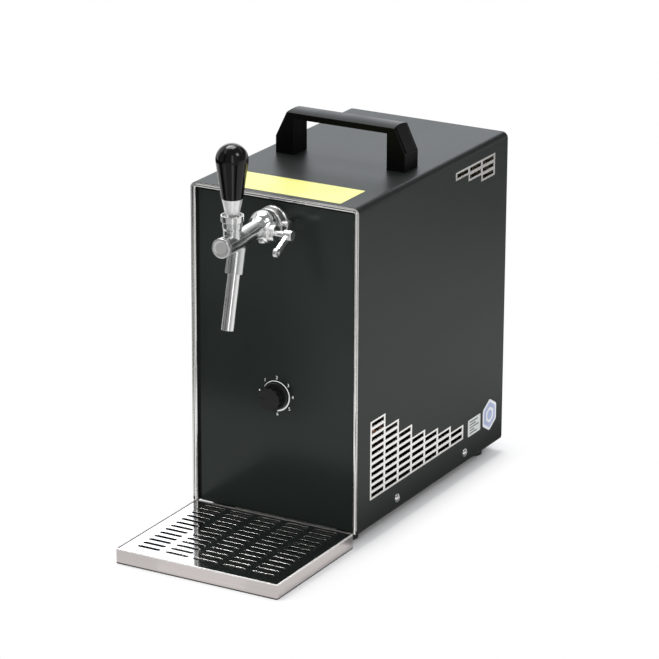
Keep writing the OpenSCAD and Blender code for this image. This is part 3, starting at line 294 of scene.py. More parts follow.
# %% [markdown]
# ## Sheet steel
# The cover, the pans and the tray are rolled stainless sheet. Rolling leaves fine lines along one axis,
# which break up the reflection far more than they change the colour, so the lines drive the roughness
# and a shallow bump, and the tone only shifts a little. The cover and the tray are painted dark along
# their lowest edge, as painted shade, and the top edges of the tray's front and right walls get a
# near-white tone, a painted highlight, with a matt finish.

# %% Rolled and polished stainless
LINES_ALONG = {"x": (6.0, 700.0, 700.0), "y": (700.0, 6.0, 700.0), "z": (700.0, 700.0, 6.0)}
# Painted shade: the tone of the dark band along a sheet's lower edge.
PAINTED_SHADE_TONE = (0.05, 0.045, 0.043)
# Painted highlight: the near-white tone of the tray's top edges, which are also made matt.
PAINTED_HIGHLIGHT_TONE = (0.98, 0.97, 0.96)
LIP_ROUGH = 0.75
POLISHED_TONE = (0.80, 0.795, 0.785)
# Painted shade: the dark tone of upright faces, such as the walls of the grate's slots.
SLOT_SHADE_TONE = (0.09, 0.09, 0.088)
LIP_AT = (0.0816, -0.2171, 0.0130)


def beyond_lip(tree, lip):
    """1 above the height of a point, in the walls to the right of it and in front of it."""
    part = add(tree, "ShaderNodeSeparateXYZ", {"Vector": object_point(tree)}).outputs
    right = maths(tree, "GREATER_THAN", part["X"], lip[0])
    front = maths(tree, "LESS_THAN", part["Y"], lip[1])
    high = maths(tree, "GREATER_THAN", part["Z"], lip[2])
    return maths(tree, "MULTIPLY", maths(tree, "MAXIMUM", right, front), high)


def rolled_steel(name, along, tone, rough=(0.24, 0.38), edge=0.0004, shade_band=None, lip=None):
    """Satin sheet with its rolling lines along an axis, cloudy handling marks and softened edges.

    Where two heights are given for the shade band, the sheet is painted dark below the first and plain
    above the second: painted shade along its lower edge. Beyond a lip the top edge gets a near-white
    tone, a painted highlight, and a matt roughness."""
    material, tree, shader = start_material(name, metallic=1.0)
    lines = mask(tree, LINES, scale=LINES_ALONG[along])
    cloud = mask(tree, MOTTLE, size=14.0)
    colour = blend_colours(tree, lines, dimmed(tone, 0.90), tone)
    dull = spread(tree, maths(tree, "MULTIPLY_ADD", lines, cloud, 0.15), *rough)
    # Painted shade: the sheet is darkened below the band's first height.
    if shade_band:
        height = add(tree, "ShaderNodeSeparateXYZ", {"Vector": object_point(tree)}).outputs["Z"]
        colour = blend_colours(tree, between(tree, height, *shade_band), PAINTED_SHADE_TONE, colour)
    # Painted highlight: beyond the lip the edge gets a near-white tone and a matt roughness.
    if lip:
        bright_lip = beyond_lip(tree, lip)
        colour = blend_colours(tree, bright_lip, colour, PAINTED_HIGHLIGHT_TONE)
        dull = maths(tree, "MAXIMUM", dull, spread(tree, bright_lip, 0.0, LIP_ROUGH))
    wire(
        tree, shader,
        base_color=colour,
        roughness=dull,
        normal=bumped(tree, lines, 0.12, softened(tree, edge)),
    )
    return material


def polished_steel(name, along, edge=0.0004, shaded_walls=False):
    """Mirror-polished stainless: wiping lines and water marks dull it; where asked, upright faces get
    painted shade.
    """
    material, tree, shader = start_material(name, metallic=1.0)
    lines = mask(tree, LINES, scale=LINES_ALONG[along])
    cloud = mask(tree, MOTTLE, size=38.0)
    colour = blend_colours(tree, cloud, dimmed(POLISHED_TONE, 0.93), POLISHED_TONE)
    # Painted shade: the more upright a face, the darker its tone.
    if shaded_walls:
        facing = add(tree, "ShaderNodeNewGeometry").outputs["True Normal"]
        height = add(tree, "ShaderNodeSeparateXYZ", {"Vector": facing}).outputs["Z"]
        colour = blend_colours(tree, maths(tree, "ABSOLUTE", height), SLOT_SHADE_TONE, colour)
    wire(
        tree, shader,
        base_color=colour,
        roughness=spread(tree, maths(tree, "MULTIPLY", lines, cloud), 0.05, 0.2),
        normal=bumped(tree, lines, 0.03, softened(tree, edge), depth=0.00005),
    )
    return material


print("steel helpers ready")

# %% The steels
# The cover gets painted shade along its lowest edge, below 17.5 mm.
casing_steel = rolled_steel("casing_steel", "y", (0.96, 0.945, 0.92), shade_band=(0.0155, 0.0175))
panel_steel = rolled_steel("panel_steel", "z", (0.56, 0.552, 0.538))
# The tray gets painted shade along its lowest edge and a painted highlight along the top of its front and
# right walls.
tray_steel = rolled_steel(
    "tray_steel", "x", (0.58, 0.537, 0.523), rough=(0.30, 0.36), edge=0.0009,
    shade_band=(0.0008, 0.0016), lip=LIP_AT,
)
rim_steel = polished_steel("rim_steel", "z")
# The grate's slot walls get painted shade.
grate_steel = polished_steel("grate_steel", "x", edge=0.001, shaded_walls=True)
print("steels ready")

# %% [markdown]
# ## The dark film and the black plate
# The casing wears a dark film with a very fine skin, so it takes a broad, soft sheen. The front plate is
# smoother: it mirrors the tray and the tap dimly, and only faint wiping marks show in the mirror.

# %% Film and plate
COOL_SHEEN = (0.93, 1.0, 0.975, 1.0)
FILM_TONES = ((0.0105, 0.0128, 0.0120), (0.0135, 0.0162, 0.0152))
FILM_DUST = (0.07, 0.07, 0.066)
PLATE_TONE = (0.0115, 0.0148, 0.0134)
PLATE_DUST = (0.06, 0.06, 0.057)


def dark_film():
    """Near-black film: a fine skin as bump, a cloudy sheen, faint scuffs along the depth and dust."""
    material, tree, shader = start_material(
        "dark_film", specular_ior_level=0.18, specular_tint=COOL_SHEEN,
    )
    cloud = mask(tree, MOTTLE, size=9.0)
    skin = mask(tree, MOTTLE, size=1500.0)
    scuff = mask(tree, LINES, scale=(260.0, 5.0, 260.0))
    dust = maths(tree, "MULTIPLY", mask(tree, SPECKS, size=420.0), 0.25)
    wire(
        tree, shader,
        base_color=blend_colours(tree, dust, blend_colours(tree, cloud, *FILM_TONES), FILM_DUST),
        roughness=spread(tree, maths(tree, "MULTIPLY", scuff, cloud), 0.39, 0.43),
        normal=bumped(tree, skin, 0.16),
    )
    return material


def black_plate():
    """Smooth black plate: deep colour, a dim reflection and hair-fine wiping marks in the gloss."""
    material, tree, shader = start_material(
        "black_plate", specular_ior_level=0.22, specular_tint=COOL_SHEEN,
    )
    cloud = mask(tree, MOTTLE, size=11.0)
    wiped = mask(tree, LINES, scale=(420.0, 420.0, 14.0))
    dust = maths(tree, "MULTIPLY", mask(tree, SPECKS, size=300.0), 0.12)
    wire(
        tree, shader,
        base_color=blend_colours(tree, dust, PLATE_TONE, PLATE_DUST),
        roughness=spread(tree, maths(tree, "MULTIPLY", wiped, cloud), 0.16, 0.30),
        normal=softened(tree, 0.0003),
    )
    return material


film = dark_film()
plate = black_plate()
print("film and plate ready")

# %% [markdown]
# ## Chrome on the tap
# The tap is cast brass, polished and chromed. Casting and hand polishing leave the surface very slightly
# wavy, which is what makes the reflections on real taps ripple, and dried drops leave small dull spots.

# %% Chrome
WAVE_FACTOR = 20.0


def tap_chrome(name, ring_step=0.0, edge=0.0005, rough=(0.14, 0.26), tone=(0.82, 0.82, 0.815)):
    """Bright chrome with a faint waviness, dried drops and, where a step is given, turned rings along Z.

    The rings are a wave whose phase is the height over the step; the texture has a factor of its own."""
    material, tree, shader = start_material(name, metallic=1.0)
    where = object_point(tree)
    wave = noise(tree, where, 70.0, 1.0)
    drops = mask(tree, SPECKS, size=240.0)
    cloud = mask(tree, MOTTLE, size=60.0)
    normal = bumped(tree, wave, 0.08, softened(tree, edge), depth=0.0008)
    if ring_step:
        rings = add(
            tree, "ShaderNodeTexWave", {"Vector": where, "Scale": 1.0 / ring_step / WAVE_FACTOR},
            wave_type="BANDS", bands_direction="Z",
        ).outputs["Fac"]
        normal = bumped(tree, rings, 0.35, normal, depth=0.0002)
    wire(
        tree, shader,
        base_color=blend_colours(tree, cloud, dimmed(tone, 0.91), tone),
        roughness=spread(tree, maths(tree, "MAXIMUM", drops, cloud), *rough),
        normal=normal,
    )
    return material


chrome = tap_chrome("tap_chrome")
body_chrome = tap_chrome("body_chrome", rough=(0.16, 0.28), tone=(0.66, 0.67, 0.665))
turned_chrome = tap_chrome(
    "turned_chrome", ring_step=0.0012, rough=(0.42, 0.52), tone=(0.97, 0.97, 0.965),
)
round_chrome = tap_chrome("round_chrome", edge=0.0022, rough=(0.30, 0.40))
bright_chrome = tap_chrome("bright_chrome", edge=0.0012, rough=(0.20, 0.30), tone=(0.95, 0.95, 0.945))
print("chrome ready")

# %% [markdown]
# ## Mouldings, rubber and the pieces inside
# Black mouldings differ mostly in their skin: the lever knob is polished, the carry handle has a fine
# grain, and rubber is dull and a little dusty. The panel behind the plate is near black, so the gap
# beside the plate shows dark. The pieces inside show through the vents and the louvres, so they get their
# true metals as well.

# %% Mouldings
MOULD_EDGE = 0.0006


def moulding(name, colour, rough, grain=0.12, grain_size=1600.0, edge_colour=None, gloss=0.5):
    """Moulded plastic: grain as bump, cloudy roughness, and edges rubbed lighter."""
    material, tree, shader = start_material(name, specular_ior_level=gloss)
    cloud = mask(tree, MOTTLE, size=40.0)
    skin = mask(tree, MOTTLE, size=grain_size)
    rub = mask(tree, RUBBED, radius=0.0007)
    lighter = edge_colour or tuple(min(1.0, 1.6 * part + 0.01) for part in colour)
    tone = blend_colours(tree, cloud, dimmed(colour, 0.88), colour)
    wire(
        tree, shader,
        base_color=blend_colours(tree, rub, tone, lighter),
        roughness=spread(tree, cloud, *rough),
        normal=bumped(tree, skin, grain, softened(tree, MOULD_EDGE)),
    )
    return material


def rubber(name):
    """Dull black rubber with moulding grain and dust in its pores."""
    material, tree, shader = start_material(name, specular_ior_level=0.3)
    pores = mask(tree, MOTTLE, size=700.0)
    dust = maths(tree, "MULTIPLY", mask(tree, MOTTLE, size=55.0), pores)
    wire(
        tree, shader,
        base_color=blend_colours(tree, dust, (0.012, 0.012, 0.012), (0.05, 0.05, 0.048)),
        roughness=spread(tree, pores, 0.65, 0.9),
        normal=bumped(tree, pores, 0.2, softened(tree, MOULD_EDGE)),
    )
    return material


def bare_metal(name, low, high, rough):
    """Unpolished metal: a cloudy tarnish between two tones, with small handling marks in the gloss."""
    material, tree, shader = start_material(name, metallic=1.0)
    cloud = mask(tree, MOTTLE, size=45.0)
    fine = mask(tree, MOTTLE, size=600.0)
    wire(
        tree, shader,
        base_color=blend_colours(tree, cloud, low, high),
        roughness=spread(tree, fine, *rough),
        normal=bumped(tree, fine, 0.08, softened(tree, 0.0004)),
    )
    return material


def foam(name):
    """Cut rigid foam: small closed cells as pits, with a warm uneven tone."""
    material, tree, shader = start_material(name, specular_ior_level=0.2)
    pattern = {"Vector": object_point(tree), "Scale": 700.0}
    cells = add(tree, "ShaderNodeTexVoronoi", pattern).outputs["Distance"]
    cloud = mask(tree, MOTTLE, size=30.0)
    wire(
        tree, shader,
        base_color=blend_colours(tree, cloud, (0.62, 0.53, 0.36), (0.74, 0.66, 0.49)),
        roughness=spread(tree, cells, 0.75, 0.95),
        normal=bumped(tree, cells, 0.4, depth=0.0003),
    )
    return material


print("helpers for mouldings and metals ready")

# %% The blacks, the colours and the inner metals
knob_black = moulding(
    "knob_black", (0.0025, 0.0025, 0.0025), (0.07, 0.13),
    grain=0.01, edge_colour=(0.004, 0.004, 0.004), gloss=0.3,
)
handle_black = moulding(
    "handle_black", (0.0016, 0.0017, 0.0017), (0.30, 0.40), edge_colour=(0.01, 0.01, 0.01), gloss=0.1,
)
# Near black, so that the gap beside the plate shows dark.
dark_panel = moulding("dark_panel", (0.004, 0.004, 0.004), (0.35, 0.5), gloss=0.15)
dial_black = moulding("dial_black", (0.006, 0.006, 0.006), (0.38, 0.5), gloss=0.3)
fitting_black = moulding("fitting_black", (0.02, 0.02, 0.02), (0.4, 0.55))
white_moulding = moulding("white_moulding", (0.78, 0.77, 0.73), (0.35, 0.5))
switch_red = moulding("switch_red", (0.46, 0.02, 0.015), (0.16, 0.24), grain=0.02)
shell_enamel = moulding("shell_enamel", (0.013, 0.013, 0.014), (0.2, 0.34), grain=0.2, grain_size=300.0)
black_rubber = rubber("black_rubber")
insulation_foam = foam("insulation_foam")
aluminium = bare_metal("aluminium", (0.62, 0.63, 0.64), (0.74, 0.75, 0.76), (0.28, 0.42))
copper = bare_metal("copper", (0.22, 0.09, 0.055), (0.44, 0.21, 0.125), (0.22, 0.4))
zinc = bare_metal("zinc", (0.56, 0.56, 0.53), (0.68, 0.68, 0.66), (0.22, 0.36))
print("mouldings, rubber and inner metals ready")

# %% [markdown]
# ## Dressing the solids
# Each solid of the frame keeps its mesh, and only its material changes. The list pairs each finish with
# the names of the solids that have it, and the print at the end shows that no solid was forgotten.

# %% Finishes of the solids
FINISHES = {
    casing_steel: ["casing_cover"],
    panel_steel: ["base_pan", "rear_panel", "block_shelf"],
    dark_panel: ["front_panel"],
    tray_steel: ["drip_tray"],
    rim_steel: ["front_trim", "casing_screws"],
    grate_steel: ["drip_grate"],
    film: ["casing_film"],
    plate: ["front_plate"],
    chrome: [
        "collar_nut", "lever_stem", "spout", "compensator_shaft", "valve_stem", "tap_shank",
        "shank_nut", "thermostat_shaft",
    ],
    round_chrome: ["tap_flange", "coupling_nut", "tap_front_cap", "compensator_lever"],
    body_chrome: ["tap_body"],
    bright_chrome: ["compensator_gland", "compensator_plug"],
    turned_chrome: ["lever_ferrule"],
    knob_black: ["tap_handle"],
    handle_black: ["carry_handle", "handle_caps"],
    dial_black: ["thermostat_knob"],
    fitting_black: [
        "mains_inlet", "switch_body", "inlet_fitting", "inlet_nut", "fan_shroud", "fan_motor",
        "fan_rotor",
    ],
    black_rubber: ["rubber_feet", "valve_seal", "compressor_grommets"],
    zinc: ["rear_screws", "handle_screws", "beer_outlet_line", "beer_inlet_line"],
    white_moulding: ["compensator_cone", "thermostat_body"],
    switch_red: ["switch_rocker"],
    insulation_foam: ["insulation_box", "insulation_lid"],
    aluminium: ["cooling_block", "condenser"],
    copper: ["discharge_pipe", "condenser_outlet_pipe", "filter_drier", "liquid_line", "suction_pipe"],
    shell_enamel: ["compressor"],
}

dressed = set()
for material, names in FINISHES.items():
    for name in names:
        nodes[name].data.materials.clear()
        nodes[name].data.materials.append(material)
        dressed.add(name)
print("solids left bare:", sorted(set(nodes) - dressed))

# %% [markdown]
# ## Print and stickers
# The dial's scale is screen-printed on the plate, and a few stickers sit on the film. All are thin
# closed sheets, so one helper makes most of them: it fills an outline with rings that shrink towards its
# centre, on two levels, and joins the two levels along the edge.


# %% A thin sheet from an outline
def solid_mesh(name, points, faces, material):
    """A mesh object at the origin that rides on the casing; its faces are listed to look outwards."""
    mesh = bpy.data.meshes.new(name)
    mesh.from_pydata(np.asarray(points).tolist(), [], faces)
    mesh.materials.append(material)
    made = bpy.data.objects.new(name, mesh)
    bpy.context.collection.objects.link(made)
    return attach(made, "cooler")


def sheet_from_outline(name, outline, at, across, up, thickness, material, rings=4):
    """Rings of the outline scaled towards its middle, on a front and a back level, as one closed grid.

    outline is an (n, 2) array in metres; a point goes to at + x * across + y * up + height * outwards,
    where outwards is across x up."""
    across, up = np.array(across, float), np.array(up, float)
    outwards = np.cross(across, up)
    middle = outline.mean(axis=0)
    share = np.linspace(0.0, 1.0, rings + 1)[1:]
    front = middle + (outline - middle)[None] * share[:, None, None]
    levels = np.concatenate([front, front[::-1]])
    height = np.repeat([thickness, 0.0], rings)
    flat = at + levels[..., :1] * across + levels[..., 1:] * up + height[:, None, None] * outwards
    count = len(outline)
    caps = np.array([at + middle[0] * across + middle[1] * up + h * outwards for h in (thickness, 0.0)])
    points = np.concatenate([flat.reshape(-1, 3), caps])
    row = np.arange(2 * rings - 1)[:, None] * count
    step = np.arange(count)[None]
    after = (step + 1) % count
    below = row + count
    quads = np.stack([row + step, below + step, below + after, row + after], -1).reshape(-1, 4)
    last = (2 * rings - 1) * count
    fan_front = np.stack([np.full(count, len(points) - 2), step[0], after[0]], -1)
    fan_back = np.stack([np.full(count, len(points) - 1), last + after[0], last + step[0]], -1)
    return solid_mesh(name, points, [*quads.tolist(), *fan_front.tolist(), *fan_back.tolist()], material)


print("sheet helper ready")

# %% Outlines
MIDDLE_OF_SIDE = 0.5


def rounded_outline(width, height, radius, steps=8):
    """A rectangle with round corners about its centre: each corner is a quarter circle, in turn."""
    angle = np.linspace(0.0, np.pi / 2, steps)
    arc = np.stack([np.cos(angle), np.sin(angle)], -1) * radius
    spin = np.array([[0.0, 1.0], [-1.0, 0.0]])
    corners = []
    for quarter, (sx, sy) in enumerate([(1, 1), (-1, 1), (-1, -1), (1, -1)]):
        turned = arc @ np.linalg.matrix_power(spin, quarter)
        corners.append(turned + [sx * (width / 2 - radius), sy * (height / 2 - radius)])
    return np.concatenate(corners)


def regular_outline(sides, radius, turn=0.0, corner=0.08):
    """A regular polygon with blunted corners: each corner gives two points, a share of a side away.

    At the middle of the sides the points of neighbouring corners meet, and one of each pair is kept."""
    angle = turn + np.arange(sides) * 2 * np.pi / sides
    tip = np.stack([np.cos(angle), np.sin(angle)], -1) * radius
    before = tip + (np.roll(tip, 1, axis=0) - tip) * corner
    if corner == MIDDLE_OF_SIDE:
        return before
    after = tip + (np.roll(tip, -1, axis=0) - tip) * corner
    return np.stack([before, after], 1).reshape(-1, 2)


print("outlines ready")

# %% [markdown]
# ### Sticker and ink finishes
# Printed vinyl is smooth but never quite flat, and white ink on a glossy plate is slightly uneven. A
# soft mottle between two close tones and a faint bump give both.


# %% Vinyl and ink
def vinyl(name, low, high, rough=(0.3, 0.42)):
    """Printed vinyl between two close tones with a faint unevenness."""
    material, tree, shader = start_material(name, specular_ior_level=0.2)
    cloud = mask(tree, MOTTLE, size=26.0)
    fine = mask(tree, MOTTLE, size=420.0)
    wire(
        tree, shader,
        base_color=blend_colours(tree, cloud, low, high),
        roughness=spread(tree, fine, *rough),
        normal=bumped(tree, fine, 0.06),
    )
    return material


INK_ROUGH = (0.4, 0.6)
yellow_vinyl = vinyl("yellow_vinyl", (0.76, 0.74, 0.19), (0.82, 0.81, 0.29))
pale_vinyl = vinyl("pale_vinyl", (0.64, 0.67, 0.64), (0.76, 0.79, 0.76))
white_vinyl = vinyl("white_vinyl", (0.80, 0.81, 0.83), (0.87, 0.88, 0.90))
lilac_vinyl = vinyl("lilac_vinyl", (0.38, 0.44, 0.66), (0.48, 0.54, 0.74))
grey_ink = vinyl("grey_ink", (0.17, 0.18, 0.17), (0.24, 0.25, 0.24), rough=INK_ROUGH)
white_ink = vinyl("white_ink", (0.74, 0.75, 0.75), (0.84, 0.85, 0.85), rough=INK_ROUGH)
print("vinyl and ink ready")

# %% [markdown]
# ### The stickers
# A plain yellow strip lies along the front of the top. A pale label and a hexagonal seal sit low on the
# right side, behind the vents. Bars stand in for lines of small print, and a plain disc fills the seal.
# The places are depths behind the rim and heights above the floor.

# %% Stickers
STICKER_T = 0.12 * MM
STRIP_X = (-61.0 * MM, 64.0 * MM)
STRIP_DEPTH = (6.0 * MM, 51.0 * MM)
STRIP_CORNER = 1.0 * MM
LABEL_DEPTH = (215.5 * MM, 241.0 * MM)
LABEL_Z = (36.0 * MM, 52.7 * MM)
LABEL_CORNER = 1.2 * MM
SEAL_AT = (260.0 * MM, 45.0 * MM)
SEAL_R = 16.0 * MM
SEAL_RINGS = [(1.0, white_vinyl), (0.80, lilac_vinyl), (0.52, white_vinyl)]
SEAL_DISC = 0.3
BAR_T = 0.04 * MM
BAR_H = 1.5 * MM
BAR_CORNER = 0.3 * MM
BARS = [(0.14, 0.78), (0.14, 0.62), (0.14, 0.86), (0.14, 0.50), (0.14, 0.70)]


def side_sheet(name, outline, depth, z, under, thickness, material, **more):
    """A sheet on the right side of the film, on top of a number of stickers that lie under it."""
    at = np.array([film_high.x + under * STICKER_T, rim_y + depth, z])
    return sheet_from_outline(name, outline, at, (0, 1, 0), (0, 0, 1), thickness, material, **more)


print("sticker helper ready")

# %% Stick them on
label_w = LABEL_DEPTH[1] - LABEL_DEPTH[0]
label_h = LABEL_Z[1] - LABEL_Z[0]
stickers = [
    sheet_from_outline(
        "yellow_strip",
        rounded_outline(STRIP_X[1] - STRIP_X[0], STRIP_DEPTH[1] - STRIP_DEPTH[0], STRIP_CORNER),
        np.array([sum(STRIP_X) / 2, rim_y + sum(STRIP_DEPTH) / 2, film_high.z]),
        (1, 0, 0), (0, 1, 0), STICKER_T, yellow_vinyl,
    ),
    side_sheet(
        "plain_label", rounded_outline(label_w, label_h, LABEL_CORNER),
        sum(LABEL_DEPTH) / 2, sum(LABEL_Z) / 2, 0, STICKER_T, pale_vinyl,
    ),
]
for under, (share, ink) in enumerate(SEAL_RINGS):
    outline = regular_outline(6, SEAL_R * share, turn=np.pi / 6)
    stickers.append(side_sheet(f"hexagon_seal_{under}", outline, *SEAL_AT, under, STICKER_T, ink))
for row, (start, end) in enumerate(BARS):
    outline = rounded_outline((end - start) * label_w, BAR_H, BAR_CORNER)
    depth = LABEL_DEPTH[0] + (start + end) / 2 * label_w
    height = LABEL_Z[1] - (row + 1) * label_h / (len(BARS) + 1)
    stickers.append(side_sheet(f"label_bar_{row}", outline, depth, height, 1, BAR_T, grey_ink, rings=2))
disc = regular_outline(24, SEAL_DISC * SEAL_R, corner=MIDDLE_OF_SIDE)
stickers.append(side_sheet("hexagon_seal_3", disc, *SEAL_AT, 3, BAR_T, lilac_vinyl, rings=2))
print("stickers:", len(stickers))

# %% [markdown]
# ### The dial's scale
# The scale swells clockwise from a hairline at the start to a broad band at the cold end. Plain numbers
# stand round it, with a dot where the cooling is off. The band is one curved sheet, and the numbers are
# text turned into meshes.

# %% Scale and numbers
SCALE_R = 13.8 * MM
SCALE_FROM = math.radians(150.0)
SCALE_TO = math.radians(-84.0)
SCALE_W = (0.35 * MM, 1.7 * MM)
NUMBER_R = 17.3 * MM
NUMBER_SIZE = 4.4 * MM
NUMBER_ANGLES = [131, 87, 43, 4, -37, -85]
OFF_ANGLE = math.radians(172.0)
OFF_R = 0.7 * MM
INK_T = 0.05 * MM


def round_dial(angle, lift):
    """A place on the ring of numbers, so far in front of the plate."""
    across, up = NUMBER_R * math.cos(angle), NUMBER_R * math.sin(angle)
    return Vector((dial_x + across, plate_y - lift, dial_z + up))


def swelling_arc(steps=96):
    """Outer and inner edge: the radius plus and minus half a width that grows along the arc."""
    share = np.linspace(0.0, 1.0, steps)
    angle = SCALE_FROM + (SCALE_TO - SCALE_FROM) * share
    half = (SCALE_W[0] + (SCALE_W[1] - SCALE_W[0]) * share) / 2
    ray = np.stack([np.cos(angle), np.sin(angle)], -1)
    return ray * (SCALE_R + half)[:, None], ray * (SCALE_R - half)[:, None]


def printed_band(name, material):
    """A strip of ink between the two edges of the arc, with a front, a back and closed sides."""
    outer, inner = swelling_arc()
    ring = np.stack([outer, inner, inner, outer], 1)
    lift = np.array([INK_T, INK_T, 0.0, 0.0])
    points = np.empty(ring.shape[:2] + (3,))
    points[..., 0] = dial_x + ring[..., 0]
    points[..., 1] = plate_y - lift
    points[..., 2] = dial_z + ring[..., 1]
    steps = len(outer)
    base = np.arange(steps - 1)[:, None] * 4
    side = np.arange(4)[None]
    turn = (side + 1) % 4
    quads = np.stack([base + turn, base + 4 + turn, base + 4 + side, base + side], -1).reshape(-1, 4)
    ends = [[3, 2, 1, 0], [4 * steps - 4 + k for k in range(4)]]
    return solid_mesh(name, points.reshape(-1, 3), quads.tolist() + ends, material)


def printed_number(digit, angle):
    """A digit as a flat mesh that faces the front, centred on its place round the dial."""
    text = bpy.data.curves.new(f"number_{digit}", "FONT")
    text.body = str(digit)
    text.size = NUMBER_SIZE
    text.align_x = "CENTER"
    text.align_y = "CENTER"
    text.extrude = INK_T / 2
    maker = bpy.data.objects.new(f"number_{digit}_text", text)
    bpy.context.collection.objects.link(maker)
    mesh = bpy.data.meshes.new_from_object(maker.evaluated_get(bpy.context.evaluated_depsgraph_get()))
    bpy.data.objects.remove(maker)
    centre = round_dial(angle, INK_T / 2)
    mesh.transform(Matrix.Translation(centre) @ Matrix.Rotation(math.pi / 2, 4, "X"))
    mesh.materials.clear()
    mesh.materials.append(white_ink)
    made = bpy.data.objects.new(f"dial_number_{digit}", mesh)
    bpy.context.collection.objects.link(made)
    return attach(made, "cooler")


print("dial helpers ready")

# %% Print the dial
printed_band("dial_scale", white_ink)
for digit, degrees in enumerate(NUMBER_ANGLES, start=1):
    printed_number(digit, math.radians(degrees))
off_dot = sheet_from_outline(
    "dial_off_dot", regular_outline(16, OFF_R, corner=MIDDLE_OF_SIDE),
    np.array(round_dial(OFF_ANGLE, 0.0)), (1, 0, 0), (0, 0, 1), INK_T, white_ink, rings=2,
)
print("numbers on the dial:", len(NUMBER_ANGLES))

# %% [markdown]
# ## The studio
# Product pictures of chrome are taken on white paper in a room that is dark elsewhere: the paper and the
# wall behind shine in the metal, and the dark room draws black lines along its curves. The world is
# therefore white, screens stand round the machine, and soft lamps hang above it and beside it.

# %% World
WHITE = (1.0, 1.0, 1.0)
ROOM_TINT = (0.95, 0.97, 1.0)
ROOM_LEVEL = 0.62


def seen_rays(tree):
    """1 for rays that the picture shows, straight, mirrored or through glass; 0 for filling light."""
    rays = add(tree, "ShaderNodeLightPath").outputs
    seen = maths(tree, "MAXIMUM", rays["Is Camera Ray"], rays["Is Glossy Ray"])
    return maths(tree, "MAXIMUM", seen, rays["Is Transmission Ray"])


scene = bpy.context.scene
scene.view_settings.view_transform = "Standard"
world = bpy.data.worlds.new("studio")
scene.world = world
world.use_nodes = True
sky = world.node_tree
sky.nodes.clear()
room = add(sky, "ShaderNodeBackground", {"Color": (*ROOM_TINT, 1.0), "Strength": ROOM_LEVEL})
white = add(sky, "ShaderNodeBackground", {"Color": (*WHITE, 1.0), "Strength": 1.0})
chosen = add(sky, "ShaderNodeMixShader", {0: seen_rays(sky), 1: room.outputs[0], 2: white.outputs[0]})
add(sky, "ShaderNodeOutputWorld", {"Surface": chosen.outputs[0]})
print("world ready")

# %% [markdown]
# ### The floor
# The floor is white paper. Near the machine it keeps the shadow, and further out it fades into plain
# white, so that the picture has no horizon. Mirrors see it white right up to the machine, but not under
# it.

# %% Floor
FLOOR_HALF = 6.0
PAPER_TONE = (0.96, 0.96, 0.96, 1.0)
SHADOW_REACH = 0.026
SHADOW_CURVE = 0.4
UNDER_EDGE = 0.0005


def flat_piece(name, points, material):
    """One four-sided sheet of the studio, which is no part of the machine."""
    mesh = bpy.data.meshes.new(name)
    mesh.from_pydata(np.asarray(points, float).tolist(), [], [[0, 1, 2, 3]])
    mesh.materials.append(material)
    made = bpy.data.objects.new(name, mesh)
    bpy.context.collection.objects.link(made)
    return made


def distance_to_machine(tree):
    """The distance to the machine's box: on each axis what lies beyond half its size, then the length."""
    middle, half = (cad_low + cad_high) / 2, (cad_high - cad_low) / 2
    steps = [("SUBTRACT", middle), ("ABSOLUTE", None), ("SUBTRACT", half), ("MAXIMUM", None)]
    away = object_point(tree)
    for operation, other in steps:
        step = add(tree, "ShaderNodeVectorMath", {0: away}, operation=operation)
        if other is not None:
            step.inputs[1].default_value = (other.x, other.y, 0.0)
        away = step.outputs["Vector"]
    return add(tree, "ShaderNodeVectorMath", {0: away}, operation="LENGTH").outputs["Value"]


def floor_material():
    """Paper that mixes its shaded colour with plain white.

    The share of white is the distance over the reach, raised to a power; mirrored rays get all of it as
    soon as they land beside the machine."""
    material, tree, shader = start_material(
        "floor_paper", base_color=PAPER_TONE, roughness=0.9, specular_ior_level=0.1,
    )
    away = distance_to_machine(tree)
    far = maths(tree, "POWER", between(tree, away, 0.0, SHADOW_REACH), SHADOW_CURVE)
    share = maths(tree, "MULTIPLY", seen_rays(tree), far)
    glossy = add(tree, "ShaderNodeLightPath").outputs["Is Glossy Ray"]
    mirrored = maths(tree, "MULTIPLY", maths(tree, "GREATER_THAN", away, UNDER_EDGE), glossy)
    share = maths(tree, "MAXIMUM", share, mirrored)
    paper = add(tree, "ShaderNodeEmission", {"Color": (*WHITE, 1.0), "Strength": 1.0})
    mix = add(tree, "ShaderNodeMixShader", {0: share, 1: shader.outputs[0], 2: paper.outputs[0]})
    tree.links.new(mix.outputs[0], tree.nodes["Material Output"].inputs["Surface"])
    return material


corner = np.array([[-1, -1, 0], [1, -1, 0], [1, 1, 0], [-1, 1, 0]]) * FLOOR_HALF
flat_piece("floor", corner + [0, 0, cad_low.z], floor_material())
print("floor ready")

# %% [markdown]
# ### Screens, cloths and strips
# These sheets are seen in reflections only: they are hidden from the camera, throw no shadow and take no
# light away, so the colours stay as they are written. Dark ones draw the black lines along the polished
# metal, and bright ones draw the white lines. A sheet's level is its brightness next to white paper.

# %% Screens
SCREEN_TOP = 2.6
PANEL_Z = 1.7
REAR_TINT = (0.955, 0.985, 1.03)
CLOTH_Z, OVER_CLOTH_Z, STRIP_Z, OVER_STRIP_Z = 0.001, 0.0015, 0.002, 0.003


def screen_material(name, level, tint):
    """A plain tone that only shines back its own level."""
    material = bpy.data.materials.new(name)
    material.use_nodes = True
    tree = material.node_tree
    tree.nodes.clear()
    tone = add(tree, "ShaderNodeEmission", {"Color": (*tint, 1.0), "Strength": level})
    add(tree, "ShaderNodeOutputMaterial", {"Surface": tone.outputs[0]})
    return material


def mirrored_sheet(name, points, level, tint=WHITE):
    """A flat sheet through four corners that only reflections can see."""
    made = flat_piece(name, points, screen_material(name, level, tint))
    made.visible_camera = False
    made.visible_diffuse = False
    made.visible_shadow = False
    made.visible_transmission = False
    return made


